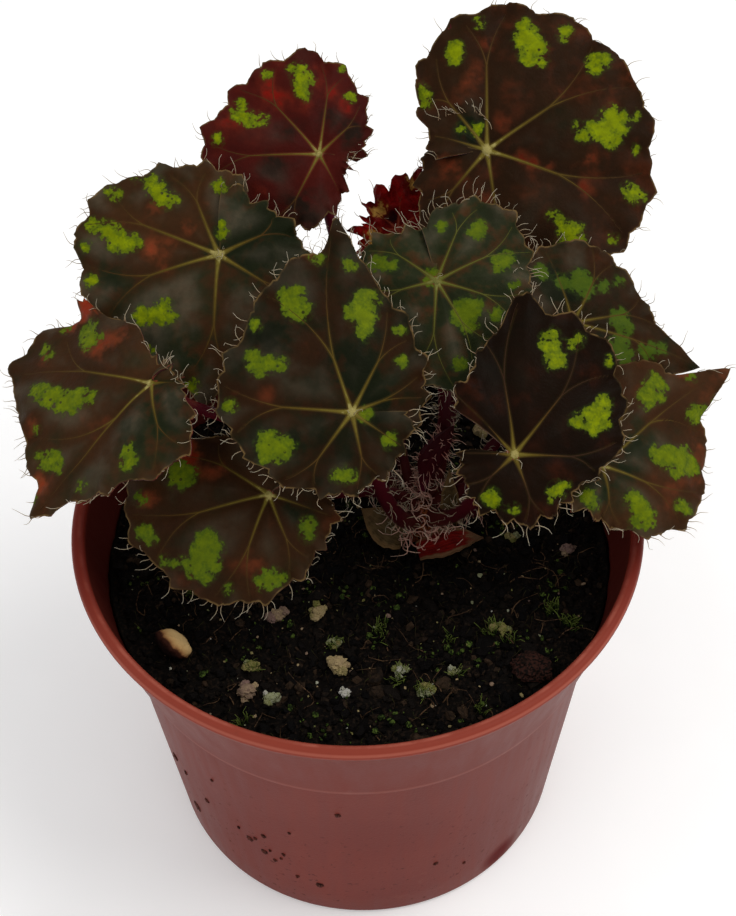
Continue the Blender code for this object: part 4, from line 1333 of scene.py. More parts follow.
def make_stalk(plan):
    route = stalk_route(plan)
    share = np.linspace(0.0, 1.0, len(route))
    size = STALK_RADIUS * min(plan["reach"].sum() / 200.0, 1.15)
    swell = 0.45 * np.exp(-((share / 0.06) ** 2)) + 0.35 * np.exp(-(((1.0 - share) / 0.035) ** 2))
    uneven = 0.05 * wander(plan["number"] + 60, share * 9.0, share, 1.0)
    half = size * (1.08 - 0.3 * share + swell + uneven)
    mesh = guide(plan["name"] + "_route", route, chain(len(route)), numbers={"half": half, "share": share})
    name = "begonia_" + plan["name"] + "_stalk"
    piece = grow(name, mesh, tube_tree, sides=STALK_SIDES, finish=stalk_finish)
    return hand_over(piece, "petiole", plan["name"] + "_petiole")


stalks = {plan["name"]: make_stalk(plan) for plan in LEAVES}

# %% [markdown]
# Hairs.
# Pale curved hairs stand on the margins and stalks, on the crown and on the rolled young leaves.
# Each starts as a short piece of a spiral on a root point, aimed along the direction that the root
# carries and tilted by chance. Noise then bends its free end, which makes every hair different, and
# a three-sided ring swept along it gives a thin strand that tapers. The strand group does that for
# any set of roots, and two small trees supply the roots: one from a line, for margins, and one from
# faces, for skins.

# %% The strand group and its two trees
STRAND_INPUTS = {
    "Length": 2.4 * MM,
    "Thickness": 0.09 * MM,
    "Tilt": 0.6,
    "Turns": 0.6,
    "Loop": 0.3,
    "Curl": 1.2 * MM,
    "Curl Size": 2.5 * MM,
    "Steps": 11,
    "Share": 0.8,
    "Seed": 1,
    "Finish": "finish",
}
HALF_TURN = 3.14159


def make_strands():
    takes = {"Roots": "mesh", **STRAND_INPUTS}
    tree, given, result = new_tree("strands on roots", "GeometryNodeTree", takes, {"Mesh": "mesh"})
    feeds = {"Resolution": given["Steps"], "Rotations": given["Turns"], "End Radius": given["Loop"]}
    spiral = add(tree, "GeometryNodeCurveSpiral", {**feeds, "Start Radius": 0.0, "Height": 1.0}).outputs[0]
    # Each hair is aimed along its root's direction, then tilted and spun by chance.
    aim = named(tree, "aim", "FLOAT_VECTOR")
    aimed = add(tree, "FunctionNodeAlignRotationToVector", {"Vector": aim}, axis="Z").outputs[0]
    tilt = add(tree, "ShaderNodeCombineXYZ", {"X": given["Tilt"], "Y": given["Tilt"], "Z": HALF_TURN})
    tilt = tilt.outputs[0]
    chance = dice(tree, scaled(tree, tilt, -1.0), tilt, given["Seed"], "FLOAT_VECTOR")
    turned = add(tree, "FunctionNodeEulerToRotation", {"Euler": chance}).outputs[0]
    feeds = {"Rotation": aimed, "Rotate By": turned}
    rotation = add(tree, "FunctionNodeRotateRotation", feeds, rotation_space="LOCAL").outputs[0]
    length_seed, keep_seed = (maths(tree, "ADD", given["Seed"], step) for step in (17.0, 31.0))
    feeds = {
        "Points": given["Roots"],
        "Selection": maths(tree, "LESS_THAN", dice(tree, 0.0, 1.0, keep_seed), given["Share"]),
        "Instance": spiral,
        "Rotation": rotation,
        "Scale": times(tree, given["Length"], dice(tree, 0.45, 1.3, length_seed)),
    }
    placed = add(tree, "GeometryNodeInstanceOnPoints", feeds)
    real = add(tree, "GeometryNodeRealizeInstances", {"Geometry": placed.outputs[0]}).outputs[0]
    # The root stays where it is, and the free end is bent the most.
    along = add(tree, "GeometryNodeSplineParameter").outputs["Factor"]
    amount = times(tree, maths(tree, "POWER", along, 1.6), times(tree, given["Curl"], 4.0))
    shift = cloud_shift(tree, maths(tree, "DIVIDE", 1.0, given["Curl Size"]), 0.0, amount)
    marked = mark(tree, move(tree, real, shift), "share", along)
    swept = sweep(tree, marked, ring_of(tree, given["Thickness"], 3), times_plus(tree, along, -0.65, 1.0))
    return end_tree(tree, result, swept, given["Finish"])


strands = make_strands()


def make_hair_tree(name, from_faces):
    """Roots from a line's length, or scattered over faces, handed to the strand group."""
    first = {"Ground": "mesh", "Spacing": 1.0 * MM, "Density": 1.0}
    tree, given, result = new_tree(name, "GeometryNodeTree", {**first, **STRAND_INPUTS}, {"Mesh": "mesh"})
    if from_faces:
        feeds = {"Mesh": given["Ground"], "Density": given["Density"], "Seed": given["Seed"]}
        spread = add(tree, "GeometryNodeDistributePointsOnFaces", feeds).outputs
        roots = mark(tree, spread["Points"], "aim", spread["Normal"], "FLOAT_VECTOR")
    else:
        line = add(tree, "GeometryNodeMeshToCurve", {"Mesh": given["Ground"]})
        feeds = {"Curve": line.outputs[0], "Length": given["Spacing"]}
        roots = add(tree, "GeometryNodeCurveToPoints", feeds, mode="LENGTH").outputs[0]
    feeds = {label: given[label] for label in STRAND_INPUTS}
    hairs = group_node(tree, strands, {"Roots": roots, **feeds})
    return end_tree(tree, result, hairs.outputs[0], given["Finish"])


line_hairs = make_hair_tree("hairs along a line", from_faces=False)
skin_hairs = make_hair_tree("hairs on a skin", from_faces=True)
print("nodes in the strand group:", len(strands.nodes))

# %% [markdown]
# Hairs of the leaves.
# The hairs of a margin lean outwards and up, and those of a stalk stand square to it. On the first
# leaf the back lobe laps over the left side, so a row of hairs crosses the blade there too.

# %% Hairs on the margins and stalks
MARGIN_HAIR = {
    "tilt": 0.7, "turns": 0.4, "curl": 0.4 * MM, "curl_size": 3.0 * MM, "thickness": 0.085 * MM,
    "finish": hair_finish,
}
STALK_HAIR = {
    "density": 0.36e6, "length": 2.2 * MM, "tilt": 0.5, "curl": 0.4 * MM, "curl_size": 2.5 * MM,
    "thickness": 0.075 * MM, "steps": 8, "share": 1.0, "finish": hair_finish,
}


def make_leaf_hairs(plan):
    edge = blades[plan["name"]][0][-1]
    normal = blade_axes(plan)[2]
    outward = edge - plan["hub"]
    outward -= (outward @ normal)[:, None] * normal
    outward /= np.linalg.norm(outward, axis=1)[:, None]
    aim = outward * 0.6 + normal * 0.6
    mesh = guide(plan["name"] + "_edge", edge - normal * 0.1, chain(len(edge)), vectors={"aim": aim})
    piece = grow(
        "begonia_" + plan["name"] + "_hairs", mesh, line_hairs, spacing=0.9 * MM, loop=0.28,
        length=(1.8 + 0.9 * plan["hairs"]) * MM, share=0.8 * plan["hairs"], seed=plan["number"],
        **MARGIN_HAIR,
    )
    hand_over(piece, plan["slot"])
    skin = stalks[plan["name"]].data.copy()
    name = "begonia_" + plan["name"] + "_stalk_hairs"
    hand_over(grow(name, skin, skin_hairs, seed=plan["number"] + 50, **STALK_HAIR), "petiole")


for plan in LEAVES:
    make_leaf_hairs(plan)

SEAM = ((75, 3.6), (89, 5.6), (104, 6.7), (120, 7.7), (133, 9), (146, 10))
places, _ = laid_on(LEAVES[0], np.array([polar(angle, distance) for angle, distance in SEAM]))
seam_aim = blade_axes(LEAVES[0])[2] * 0.5 + np.array((-0.4, 0.5, 0.0))
aims = np.tile(seam_aim, (len(SEAM), 1))
mesh = guide("leaf_01_seam", places, chain(len(SEAM)), vectors={"aim": aims})
piece = grow(
    "begonia_leaf_01_seam_hairs", mesh, line_hairs, spacing=0.5 * MM, loop=0.3, length=2.8 * MM,
    share=0.9, seed=91, **MARGIN_HAIR,
)
hand_over(piece, "leaf")

# %% [markdown]
# The crown.
# The stalks leave a short, scarred stem that is almost hidden by curly hairs. Its shape is the
# CAD's stub with a domed head, made finer and pressed in and out by noise. Only the head is hairy,
# so the hairs grow on a copy that has lost its lower part.

# %% Make the crown and its hairs
crown_finish = mottled(
    "crown skin", (74, 30, 16), (112, 56, 24), (36, 10, 10), (1.6, 0.5), (0.45, 0.35), 0.6, 0.25
)
CROWN_SIDES = 64
CROWN_FOOT = 55.5
DOME_STEPS = 14
DOME_STEP_ANGLE = 6.7
DOME_TOP = math.sin(math.radians(80))
HAIRY_ABOVE = 65.2


def crown_profile():
    """The crown's outline as (radius, height), from its foot to the top of the dome."""
    profile = [(0.05, CROWN_FOOT), (CROWN_RADIUS - 1.2, CROWN_FOOT)]
    profile += [(CROWN_RADIUS - 0.3, 59.0), (CROWN_RADIUS, 62.0)]
    for step in range(DOME_STEPS):
        angle = math.radians(step * DOME_STEP_ANGLE)
        profile.append((CROWN_RADIUS * math.cos(angle), CROWN_SHOULDER + CROWN_RADIUS * math.sin(angle)))
    return profile


def make_crown():
    profile = crown_profile()
    points = []
    for radius, height in profile:
        for side in range(CROWN_SIDES):
            angle = math.tau * side / CROWN_SIDES
            spot = Vector((radius * math.cos(angle), radius * math.sin(angle), height))
            lump = 0.55 * noise.noise(spot * 0.45) + 0.3 * noise.noise(spot * 1.1)
            push = 1.0 + lump / CROWN_RADIUS
            rise = lump * max(DOME_TOP - radius / CROWN_RADIUS, 0.0)
            points.append((CROWN_AT[0] + spot.x * push, CROWN_AT[1] + spot.y * push, height + rise))
    return new_piece("begonia_crown", points, closed_tube(len(profile), CROWN_SIDES), (crown_finish,))


def keep_head(work):
    """Takes away the part of the crown that is too low to be hairy."""
    buried = [vertex for vertex in work.verts if vertex.co.z < HAIRY_ABOVE * MM]
    bmesh.ops.delete(work, geom=buried, context="VERTS")


crown = hand_over(make_crown(), "crown", "crown")
head = crown.data.copy()
rework(head, keep_head)
piece = grow(
    "begonia_crown_hairs", head, skin_hairs, density=1.2e6, length=4.4 * MM, tilt=0.9, turns=1.0, loop=0.45,
    curl=0.7 * MM, curl_size=3.0 * MM, thickness=0.17 * MM, steps=12, share=1.0, seed=5,
    finish=crown_hair_finish,
)
hand_over(piece, "crown")

# %% [markdown]
# Bracts.
# Small sheets sit round the crown: two dry papery ones, and a bright red one in front. Each is a
# pointed strap, folded along its middle and slightly crinkled, with fine ribs along it. The ribs
# are too fine for the mesh, so they are painted and raised by the ribbed sheet group, which both
# kinds of bract share.

# %% The ribbed sheet group
def make_ribbed():
    takes = {"Base": paint(62, 48, 28), "Rib": paint(92, 74, 46), "Edge": paint(104, 80, 50)}
    gives = {"Colour": "colour", "Height": "number"}
    tree, given, result = new_tree("ribbed sheet", "ShaderNodeTree", takes, gives)
    ribs = ramp(tree, maths(tree, "SINE", times(tree, reading(tree, "across"), 26.0)), 0.2, 1.0)
    cloud = ramp(tree, grain(tree, 1.4, 4.0), 0.35, 0.65)
    colour = blend(tree, times(tree, cloud, 0.6), given["Base"], given["Rib"])
    colour = blend(tree, times(tree, ribs, 0.35), colour, given["Rib"])
    border = maths(tree, "ADD", reading(tree, "border"), times(tree, cloud, 0.12))
    colour = blend(tree, ramp(tree, border, 0.72, 0.95), colour, given["Edge"])
    give(tree, result, Colour=colour, Height=times_plus(tree, ribs, 0.5, grain(tree, 0.6, 3.0)))
    return tree


ribbed = make_ribbed()


def rib_finish(name, base, rib, edge, depth):
    """A thin sheet with ribs along it and an edge of another colour."""
    return group_finish(name, ribbed, {"Base": paint(*base), "Rib": paint(*rib), "Edge": paint(*edge)}, depth)


papery = rib_finish("papery bract", (62, 48, 28), (92, 74, 46), (104, 80, 50), 0.12)
red_bract = rib_finish("red bract", (114, 18, 12), (74, 8, 8), (104, 76, 52), 0.15)
print("nodes in the ribbed sheet group:", len(ribbed.nodes))

# %% [markdown]
# Straps.
# A bract runs from its base to its tip, facing a given way. Its width swells and then shrinks to a
# point, its sides are a little ragged, and its height over the line holds the sag, the fold and the
# crinkles. The lower side repeats the upper one, one thickness down.

# %% Make the bracts
STRAP_STEPS = 36
STRAP_ACROSS = 12
STRAP_THICKNESS = 0.4
NARROWEST = 0.12


def unit(direction):
    return direction / np.linalg.norm(direction)


def strap_faces():
    """Faces of a closed strap: the upper grid, the lower one, and the strips round them."""
    wide = STRAP_ACROSS + 1
    low = wide * (STRAP_STEPS + 1)
    faces = []
    for row in range(STRAP_STEPS):
        for column in range(STRAP_ACROSS):
            here = row * wide + column
            faces.append((here, here + wide, here + wide + 1, here + 1))
            faces.append((low + here + 1, low + here + wide + 1, low + here + wide, low + here))
        for column in (0, STRAP_ACROSS):
            here = row * wide + column
            faces.append((here, here + wide, low + here + wide, low + here))
    for row in (0, STRAP_STEPS):
        for column in range(STRAP_ACROSS):
            here = row * wide + column
            faces.append((here, here + 1, low + here + 1, low + here))
    return faces


def by_crown(right, back, height):
    """A place given from the crown's middle."""
    return np.array((CROWN_AT[0] + right, CROWN_AT[1] + back, height))


def make_strap(name, base, tip, face, width, sag, fold, made_of, seed):
    base, tip = by_crown(*base), by_crown(*tip)
    line = tip - base
    across = unit(np.cross(line, face))
    up = unit(np.cross(across, line))
    steps, sides = np.linspace(0.0, 1.0, STRAP_STEPS + 1), np.linspace(-1.0, 1.0, STRAP_ACROSS + 1)
    share, side = np.meshgrid(steps, sides, indexing="ij")
    half = 0.5 * width * (0.55 + 0.45 * np.sin(np.pi * share * 0.9)) * (1.0 - share ** 3)
    u = share * np.linalg.norm(line)
    v = side * np.maximum(half, NARROWEST)
    v = v * (1.0 + 0.09 * wander(seed, u, v * 0.0, 1.1))
    height = sag * np.sin(np.pi * share) + fold * np.abs(v) + 0.35 * wander(seed + 5, u, v, 2.2)
    height = height + 0.1 * wander(seed + 9, u, v * 3.0, 1.0)
    top = base + line * share[..., None] + across * v[..., None] + up * height[..., None]
    points = np.concatenate((top.reshape(-1, 3), (top - up * STRAP_THICKNESS).reshape(-1, 3)))
    fields = {"across": side, "border": np.maximum(np.abs(side), share)}
    values = {label: np.tile(field.ravel(), 2) for label, field in fields.items()}
    piece = new_piece("begonia_" + name, points, strap_faces(), (made_of,), values, sharp=70.0)
    hand_over(piece, "stipule", name)


BRACTS = (
    ("stipule_left", (-2.9, -5.6, 65.9), (-10.9, -2.7, 71.3), (0.2, -0.8, 0.6), 8.0, 0.8, 0.25, papery),
    ("stipule_back", (5.2, -3.0, 65.2), (4.9, -0.9, 79.0), (0, -1, 0.3), 4.0, 0.6, 0.3, papery),
    ("stipule_red", (-0.9, -8.4, 65.3), (10.9, -6.3, 66.6), (0, 0, 1), 7.0, 1.0, 0.2, red_bract),
)
for seed, bract in enumerate(BRACTS, 1):
    make_strap(*bract, seed)

# %% [markdown]
# Rolled young leaves.
# A young begonia leaf comes up rolled, with its folds winding slowly round it. Two such leaves stand
# by the crown. Each is a ring of points carried from base to tip: the ring swells and shrinks on
# the way, and its four folds, with a sharp crease between them, turn slowly as it goes.

# %% Make the rolled leaves
rolled_finish = along_finish(
    "rolled leaf", ((0.0, (84, 12, 40)), (0.35, (60, 8, 18)), (1.0, (44, 6, 10))), 0.5, 1.0, 0.12
)
ROLLED = (
    (0.0, 0.34), (0.12, 0.36), (0.26, 0.52), (0.4, 0.84), (0.55, 1.0), (0.7, 0.9), (0.82, 0.62), (0.92, 0.32),
    (1.0, 0.08),
)
ROLLED_SIDES = 40
ROLLED_ROWS = 40


def make_rolled_leaf(name, base, tip, radius):
    """A spindle with creased folds and fine ridges that wind slowly round it."""
    base, tip = by_crown(*base), by_crown(*tip)
    line = tip - base
    across = unit(np.cross(line, (0.0, 1.0, 0.0)))
    deep = unit(np.cross(line, across))
    steps = np.linspace(0.0, 1.0, ROLLED_ROWS + 1)
    angles = np.linspace(0.0, math.tau, ROLLED_SIDES, endpoint=False)
    share, angle = np.meshgrid(steps, angles, indexing="ij")
    folds = 0.16 * np.abs(np.sin(2.0 * angle + 2.2 * share))
    ridge = 1.0 + folds - 0.1 + 0.06 * np.sin(9.0 * angle + 5.0 * share)
    ring = radius * np.interp(share, *zip(*ROLLED)) * ridge
    bow = across * (0.5 * radius * np.sin(np.pi * share))[..., None]
    points = base + line * share[..., None] + bow + across * (ring * np.cos(angle))[..., None]
    points = points + deep * (0.72 * ring * np.sin(angle))[..., None]
    faces = closed_tube(ROLLED_ROWS + 1, ROLLED_SIDES)
    points = points.reshape(-1, 3)
    piece = new_piece("begonia_" + name, points, faces, (rolled_finish,), {"share": share}, sharp=50.0)
    hand_over(piece, "young_leaf", name)
    hairs = grow(
        "begonia_" + name + "_hairs", piece.data.copy(), skin_hairs, density=0.5e6, length=2.1 * MM,
        tilt=0.45, turns=0.3, curl=0.25 * MM, curl_size=2.5 * MM, thickness=0.08 * MM, share=1.0, seed=77,
        finish=crown_hair_finish,
    )
    hand_over(hairs, "young_leaf")


make_rolled_leaf("furled_leaf_tall", (0.0, 0.0, 71.4), (5.8, 3.7, 85.4), 2.3)
make_rolled_leaf("furled_leaf_low", (5.0, -2.5, 66.6), (12.8, -0.5, 68.8), 1.9)

# %% [markdown]
# The pot.
# The pot is a thin plastic shell: a tapered body, a step, a slightly wider band above it and a
# rounded lip. Its outline is the same all the way round, so a line in section is enough. The tree
# sweeps that line round a circle and bores the drain holes through the floor with a Boolean.

# %% The turned pot tree
POT_HEIGHT = 76.5
POT_BASE_RADIUS = 38.6
POT_WALL = 1.2
BAND_FOOT = 55.0
BAND_FOOT_RADIUS = 44.1
LIP_FOOT = 73.3
LIP_RADIUS = 50.0
LIP_INNER_RADIUS = 47.7
SWEEP_RADIUS = 45.0
POT_STEPS = 180
DRILL_SIDES = 32
DRILL_DEPTH = 8.0
WELD = 0.01


def make_pot_tree():
    takes = {
        "Section": "mesh",
        "Steps": POT_STEPS,
        "Sweep Radius": SWEEP_RADIUS * MM,
        "Holes": 6,
        "Hole Radius": 3.0 * MM,
        "Hole Ring": 27.0 * MM,
        "Finish": "finish",
    }
    tree, given, result = new_tree("turned pot", "GeometryNodeTree", takes, {"Mesh": "mesh"})
    section = add(tree, "GeometryNodeMeshToCurve", {"Mesh": given["Section"]}).outputs[0]
    circle = ring_of(tree, given["Sweep Radius"], given["Steps"])
    feeds = {"Geometry": sweep(tree, circle, section, capped=False), "Distance": WELD * MM}
    closed = add(tree, "GeometryNodeMergeByDistance", feeds).outputs[0]
    # The drills stand on a ring of their own, turned by half the way from one to the next.
    feeds = {"Vertices": DRILL_SIDES, "Radius": given["Hole Radius"], "Depth": DRILL_DEPTH * MM}
    drill = add(tree, "GeometryNodeMeshCylinder", feeds).outputs["Mesh"]
    feeds = {"Points": ring_of(tree, given["Hole Ring"], given["Holes"]), "Instance": drill}
    drills = add(tree, "GeometryNodeInstanceOnPoints", feeds).outputs[0]
    turn = add(tree, "ShaderNodeCombineXYZ", {"Z": maths(tree, "DIVIDE", math.pi, given["Holes"])}).outputs[0]
    between = add(tree, "GeometryNodeTransform", {"Geometry": drills, "Rotation": turn}).outputs[0]
    cutters = add(tree, "GeometryNodeRealizeInstances", {"Geometry": between}).outputs[0]
    feeds = {"Mesh 1": closed, "Mesh 2": cutters}
    bored = add(tree, "GeometryNodeMeshBoolean", feeds, operation="DIFFERENCE", solver="EXACT").outputs[0]
    return end_tree(tree, result, bored, given["Finish"])


pot_tree = make_pot_tree()
print("nodes in the pot tree:", len(pot_tree.nodes))

# %% [markdown]
# The pot's plastic.
# The plastic is a dull brick red with faint upright streaks, painted a little lighter along them as
# sheen. The band is redder and has a painted highlight along its foot. The lip is painted paler in
# front, where light falls on it, with thin painted highlights and painted shade on its lower edge.
# The inside of the wall is painted darker as shade. The wall carries dust near its foot, and one dark
# red patch of painted shade lies at its foot. All of it is painted by height, and by distance from
# the pot's axis or from a point, so no picture has to be wrapped round the pot.

# %% Pot finish
BAND_LINE = 55.1
LIP_INNER_LINE = 48.5
LIP_OUTER_LINE = 75.85
# Where the dark red painted shade at the pot's foot lies.
SHADE_PATCH_AT = (25.6 * MM, -29.3 * MM, 4.5 * MM)


def fade(tree, value, low, high, start=0.0, end=1.0):
    """A soft step whose low and high are sizes in millimetres."""
    return ramp(tree, value, low * MM, high * MM, start, end)


def make_pot_finish():
    made, tree, shader = finish("pot plastic", 0.42, 0.0, 0.05)
    place = own_place(tree)
    parts = add(tree, "ShaderNodeSeparateXYZ", {0: place}).outputs
    height = parts["Z"]
    square = maths(tree, "ADD", maths(tree, "POWER", parts["X"], 2.0), maths(tree, "POWER", parts["Y"], 2.0))
    radius = maths(tree, "SQRT", square)
    stretched = add(tree, "ShaderNodeMapping", {"Vector": place, "Scale": (1.0, 1.0, 0.06)}).outputs[0]
    streaks = clouds(tree, 420.0, 3.0, place=stretched)
    # The upright streaks vary roughness and relief, and their lighter colour is painted sheen.
    wall = blend(tree, ramp(tree, streaks, 0.3, 0.7), paint(104, 40, 32), paint(111, 47, 38))
    wall = blend(tree, ramp(tree, grain(tree, 22.0, 3.0), 0.35, 0.7, 0.0, 0.5), wall, paint(97, 36, 29))
    band = times(tree, fade(tree, height, 54.6, 56.0), ramp(tree, grain(tree, 9.0, 5.0), 0.3, 0.7, 0.3, 0.8))
    wall = blend(tree, band, wall, paint(105, 38, 27))
    # A painted highlight runs along the band's foot.
    band_highlight = fade(tree, distance(tree, height, BAND_LINE * MM), 0.25, 0.7, 0.55, 0.0)
    wall = blend(tree, band_highlight, wall, paint(134, 74, 63))
    # The lip is painted paler in front, where light falls on it, with painted highlights as a pale line
    # inside and another outside, and painted shade on its lower edge.
    front = fade(tree, parts["Y"], -10.0, -34.0)
    lip = blend(tree, front, paint(102, 34, 25), paint(131, 56, 43))
    highlight_gaps = ramp(tree, grain(tree, 3.0, 4.0), 0.35, 0.65, 0.2, 1.0)
    inner_highlight = fade(tree, distance(tree, radius, LIP_INNER_LINE * MM), 0.1, 0.5, 0.6, 0.0)
    inner_highlight = times(tree, inner_highlight, highlight_gaps)
    outer_highlight = fade(tree, distance(tree, height, LIP_OUTER_LINE * MM), 0.1, 0.35, 0.6, 0.0)
    outer_highlight = times(tree, outer_highlight, fade(tree, radius, 49.0, 49.4))
    lip_highlights = maths(tree, "MAXIMUM", inner_highlight, outer_highlight)
    lip = blend(tree, times(tree, lip_highlights, ramp(tree, front, 0.0, 1.0, 0.3, 1.0)), lip, paint(166, 92, 76))
    # Painted shade darkens the lip's lower edge.
    lip = blend(tree, fade(tree, height, 75.1, 74.7, 0.0, 0.8), lip, paint(96, 32, 22))
    colour = blend(tree, fade(tree, height, 73.0, 74.4), wall, lip)
    # Dust lies thickest near the foot, and pale scuffs are everywhere.
    low = fade(tree, height, 60.0, 10.0, 0.1, 0.8)
    dust = times(tree, ramp(tree, grain(tree, 1.3, 5.0, 0.65), 0.6, 0.7), low)
    colour = blend(tree, dust, colour, paint(78, 44, 36))
    scuffs = ramp(tree, grain(tree, 7.0, 6.0, 0.7), 0.6, 0.75, 0.0, 0.25)
    colour = blend(tree, scuffs, colour, paint(136, 84, 74))
    # A dark red patch of painted shade lies at the foot, to the right of the middle.
    away = add(tree, "ShaderNodeVectorMath", {0: place, 1: SHADE_PATCH_AT}, operation="DISTANCE").outputs["Value"]
    painted_shade_patch = fade(tree, away, 6.0, 1.2, 0.0, 0.9)
    colour = blend(tree, painted_shade_patch, colour, paint(84, 5, 4))
    # The inside of the wall is painted a darker maroon than the outside, as shade.
    slope = (LIP_INNER_RADIUS - BAND_FOOT_RADIUS + POT_WALL) / (LIP_FOOT - BAND_FOOT)
    above_band = minus(tree, height, BAND_FOOT * MM)
    inner_wall = times_plus(tree, above_band, slope, (BAND_FOOT_RADIUS - POT_WALL) * MM)
    inside = fade(tree, minus(tree, radius, inner_wall), 0.9, 0.4)
    inside = times(tree, inside, fade(tree, height, 75.4, 74.0))
    colour = blend(tree, inside, colour, paint(74, 27, 21))
    tree.links.new(colour, shader.inputs["Base Color"])
    gloss = times_plus(tree, streaks, 0.2, 0.32)
    gloss = times_plus(tree, maths(tree, "MAXIMUM", dust, painted_shade_patch), 0.3, gloss)
    tree.links.new(gloss, shader.inputs["Roughness"])
    bump(tree, shader, times_plus(tree, streaks, 0.6, times(tree, grain(tree, 0.5, 3.0), 0.4)), 0.06)
    return made


pot_finish = make_pot_finish()
print("nodes in the pot finish:", len(pot_finish.node_tree.nodes))

# %% [markdown]
# The pot's section.
# The section goes from the middle of the underside out to the foot, up the outside, round the lip
# and down the inside to the middle of the floor. Short arcs round the foot, the band's lower edge
# and the lip, because those are the edges that catch the light.

# %% Make the pot
FOOT_ROUNDING = 1.2
SHARP_POT_EDGE = 38.0


def arc(centre, radius, start, end, steps):
    """Points on part of a circle, as (radius from the pot's axis, height)."""
    angles = np.radians(np.linspace(start, end, steps))
    return [(centre[0] + radius * math.cos(angle), centre[1] + radius * math.sin(angle)) for angle in angles]


def pot_section():
    step_radius = BAND_FOOT_RADIUS - 0.8
    lip_half = (LIP_RADIUS - LIP_INNER_RADIUS) / 2.0
    lip_middle = (LIP_RADIUS + LIP_INNER_RADIUS) / 2.0
    foot = POT_BASE_RADIUS - FOOT_ROUNDING
    outside = [(0.0, 0.0), (30.0, 0.0), (foot, 0.0)]
    outside += arc((foot, FOOT_ROUNDING), FOOT_ROUNDING, -60, -6, 4)
    outside += [(POT_BASE_RADIUS + 0.6, 8.0), (POT_BASE_RADIUS + 2.4, 28.0)]
    outside += [(step_radius - 0.05, BAND_FOOT - 1.5), (step_radius + 0.1, BAND_FOOT - 0.95)]
    outside += arc((BAND_FOOT_RADIUS - 0.35, BAND_FOOT - 0.25), 0.4, -70, 5, 4)
    outside += [(BAND_FOOT_RADIUS + 2.4, BAND_FOOT + 9.0)]
    outside += [(LIP_RADIUS - 1.2, LIP_FOOT - 0.8), (LIP_RADIUS - 0.95, LIP_FOOT)]
    lip = arc((lip_middle, POT_HEIGHT - lip_half), lip_half, -35, 180, 14)
    inside = [(LIP_INNER_RADIUS - 0.05, LIP_FOOT), (BAND_FOOT_RADIUS - POT_WALL, BAND_FOOT)]
    inside += [(POT_BASE_RADIUS - POT_WALL, POT_WALL + 1.0), (POT_BASE_RADIUS - POT_WALL - 1.0, POT_WALL)]
    return outside + lip + inside + [(0.0, POT_WALL)]


# The sweep turns the section over, so its heights go in with the sign changed.
section = [(radius - SWEEP_RADIUS, -height, 0.0) for radius, height in pot_section()]
mesh = guide("pot_section", section, chain(len(section)))
pot = grow("begonia_pot", mesh, pot_tree, steps=POT_STEPS, finish=pot_finish)
rework(pot.data, turn_outwards)
smooth_up_to(pot.data, SHARP_POT_EDGE)
corners = (pot.bound_box[0], pot.bound_box[6])
print("pot box in mm:", [tuple(round(c * 1000, 1) for c in corner) for corner in corners])
hand_over(pot, "pot", "pot")

# %% [markdown]
# The soil's colours.
# Wet potting soil is almost black, with brown crumbs, a little green algae and grains of perlite.
# A crumb or grain carries one number, its tint, and the finish runs through a row of colours by it,
# so thousands of them can differ under one finish.

# %% Finishes of the soil and stones
soil_finish = mottled("soil", (5, 3, 2), (9, 6, 4), (26, 18, 12), (3.0, 0.6), (0.5, 0.3), 0.8, 0.6)
crumb_finish = along_finish(
    "soil crumb", ((0.0, (3, 2, 2)), (0.55, (8, 5, 4)), (0.85, (18, 13, 9)), (1.0, (50, 37, 26))),
    0.7, 0.8, 0.25, "tint",
)
algae_finish = mottled(
    "green granule", (38, 52, 16), (72, 88, 34), (18, 24, 8), (1.0, 0.4), (0.4, 0.4), 0.8, 0.25
)
perlite_finish = along_finish(
    "perlite",
    ((0.0, (116, 92, 84)), (0.3, (158, 138, 100)), (0.6, (98, 98, 46)), (0.8, (134, 136, 104)),
     (1.0, (176, 172, 164))),
    0.85, 0.5, 0.3, "tint",
)
fibre_finish = mottled(
    "root fibre", (58, 42, 30), (88, 66, 46), (30, 20, 14), (2.0, 0.5), (0.4, 0.3), 0.8, 0.1
)
pebble_finish = along_finish(
    "pebble",
    ((0.0, (196, 164, 112)), (0.3, (184, 146, 94)), (0.52, (142, 98, 60)), (0.62, (62, 32, 22)),
     (1.0, (22, 12, 10))),
    0.75, 1.2, 0.2, "shadow",
)
bark_finish = mottled("bark chip", (30, 17, 12), (50, 28, 22), (13, 9, 7), (1.4, 0.4), (0.5, 0.4), 0.8, 0.5)
moss_finish = along_finish(
    "moss", ((0.0, (10, 14, 5)), (0.4, (44, 58, 18)), (1.0, (104, 116, 52))), 0.8, 1.5, 0.05
)
sprout_finish = along_finish(
    "soil sprout", ((0.0, (14, 10, 7)), (0.6, (44, 34, 22)), (1.0, (58, 62, 28))), 0.8, 3.0, 0.05
)
print("finishes so far:", len(bpy.data.materials))

# %% [markdown]
# The soil bed.
# The soil fills the pot to a little under its lip. Its top is one surface, raised and lowered by
# slow noise and roughened by finer noise. The slow waves die out where the crown, the pebble and the
# bark chip sit, so that none of them floats. Below the top it only has to follow the pot's inside.

# %% Make the soil bed
SOIL_LEVEL = 64.0
SOIL_RELIEF = 1.3
PEBBLE_AT = (-32.4, -20.1)
BARK_AT = (28.7, -27.0)
SOIL_ROWS = 88
SOIL_SECTORS = 240
SOIL_RADIUS = 44.95
SOIL_FOOT = 1.6
SOIL_SIDE = ((SOIL_RADIUS - 0.35, 62.2), (42.4, 55.0), (36.1, SOIL_FOOT))
SEATS = ((CROWN_AT, 9.0), (PEBBLE_AT, 4.5), (BARK_AT, 5.0))
SEAT_MARGIN = 5.0


def soil_noise(px, py, fineness, layer):
    return noise.noise(Vector((px * fineness, py * fineness, layer)))


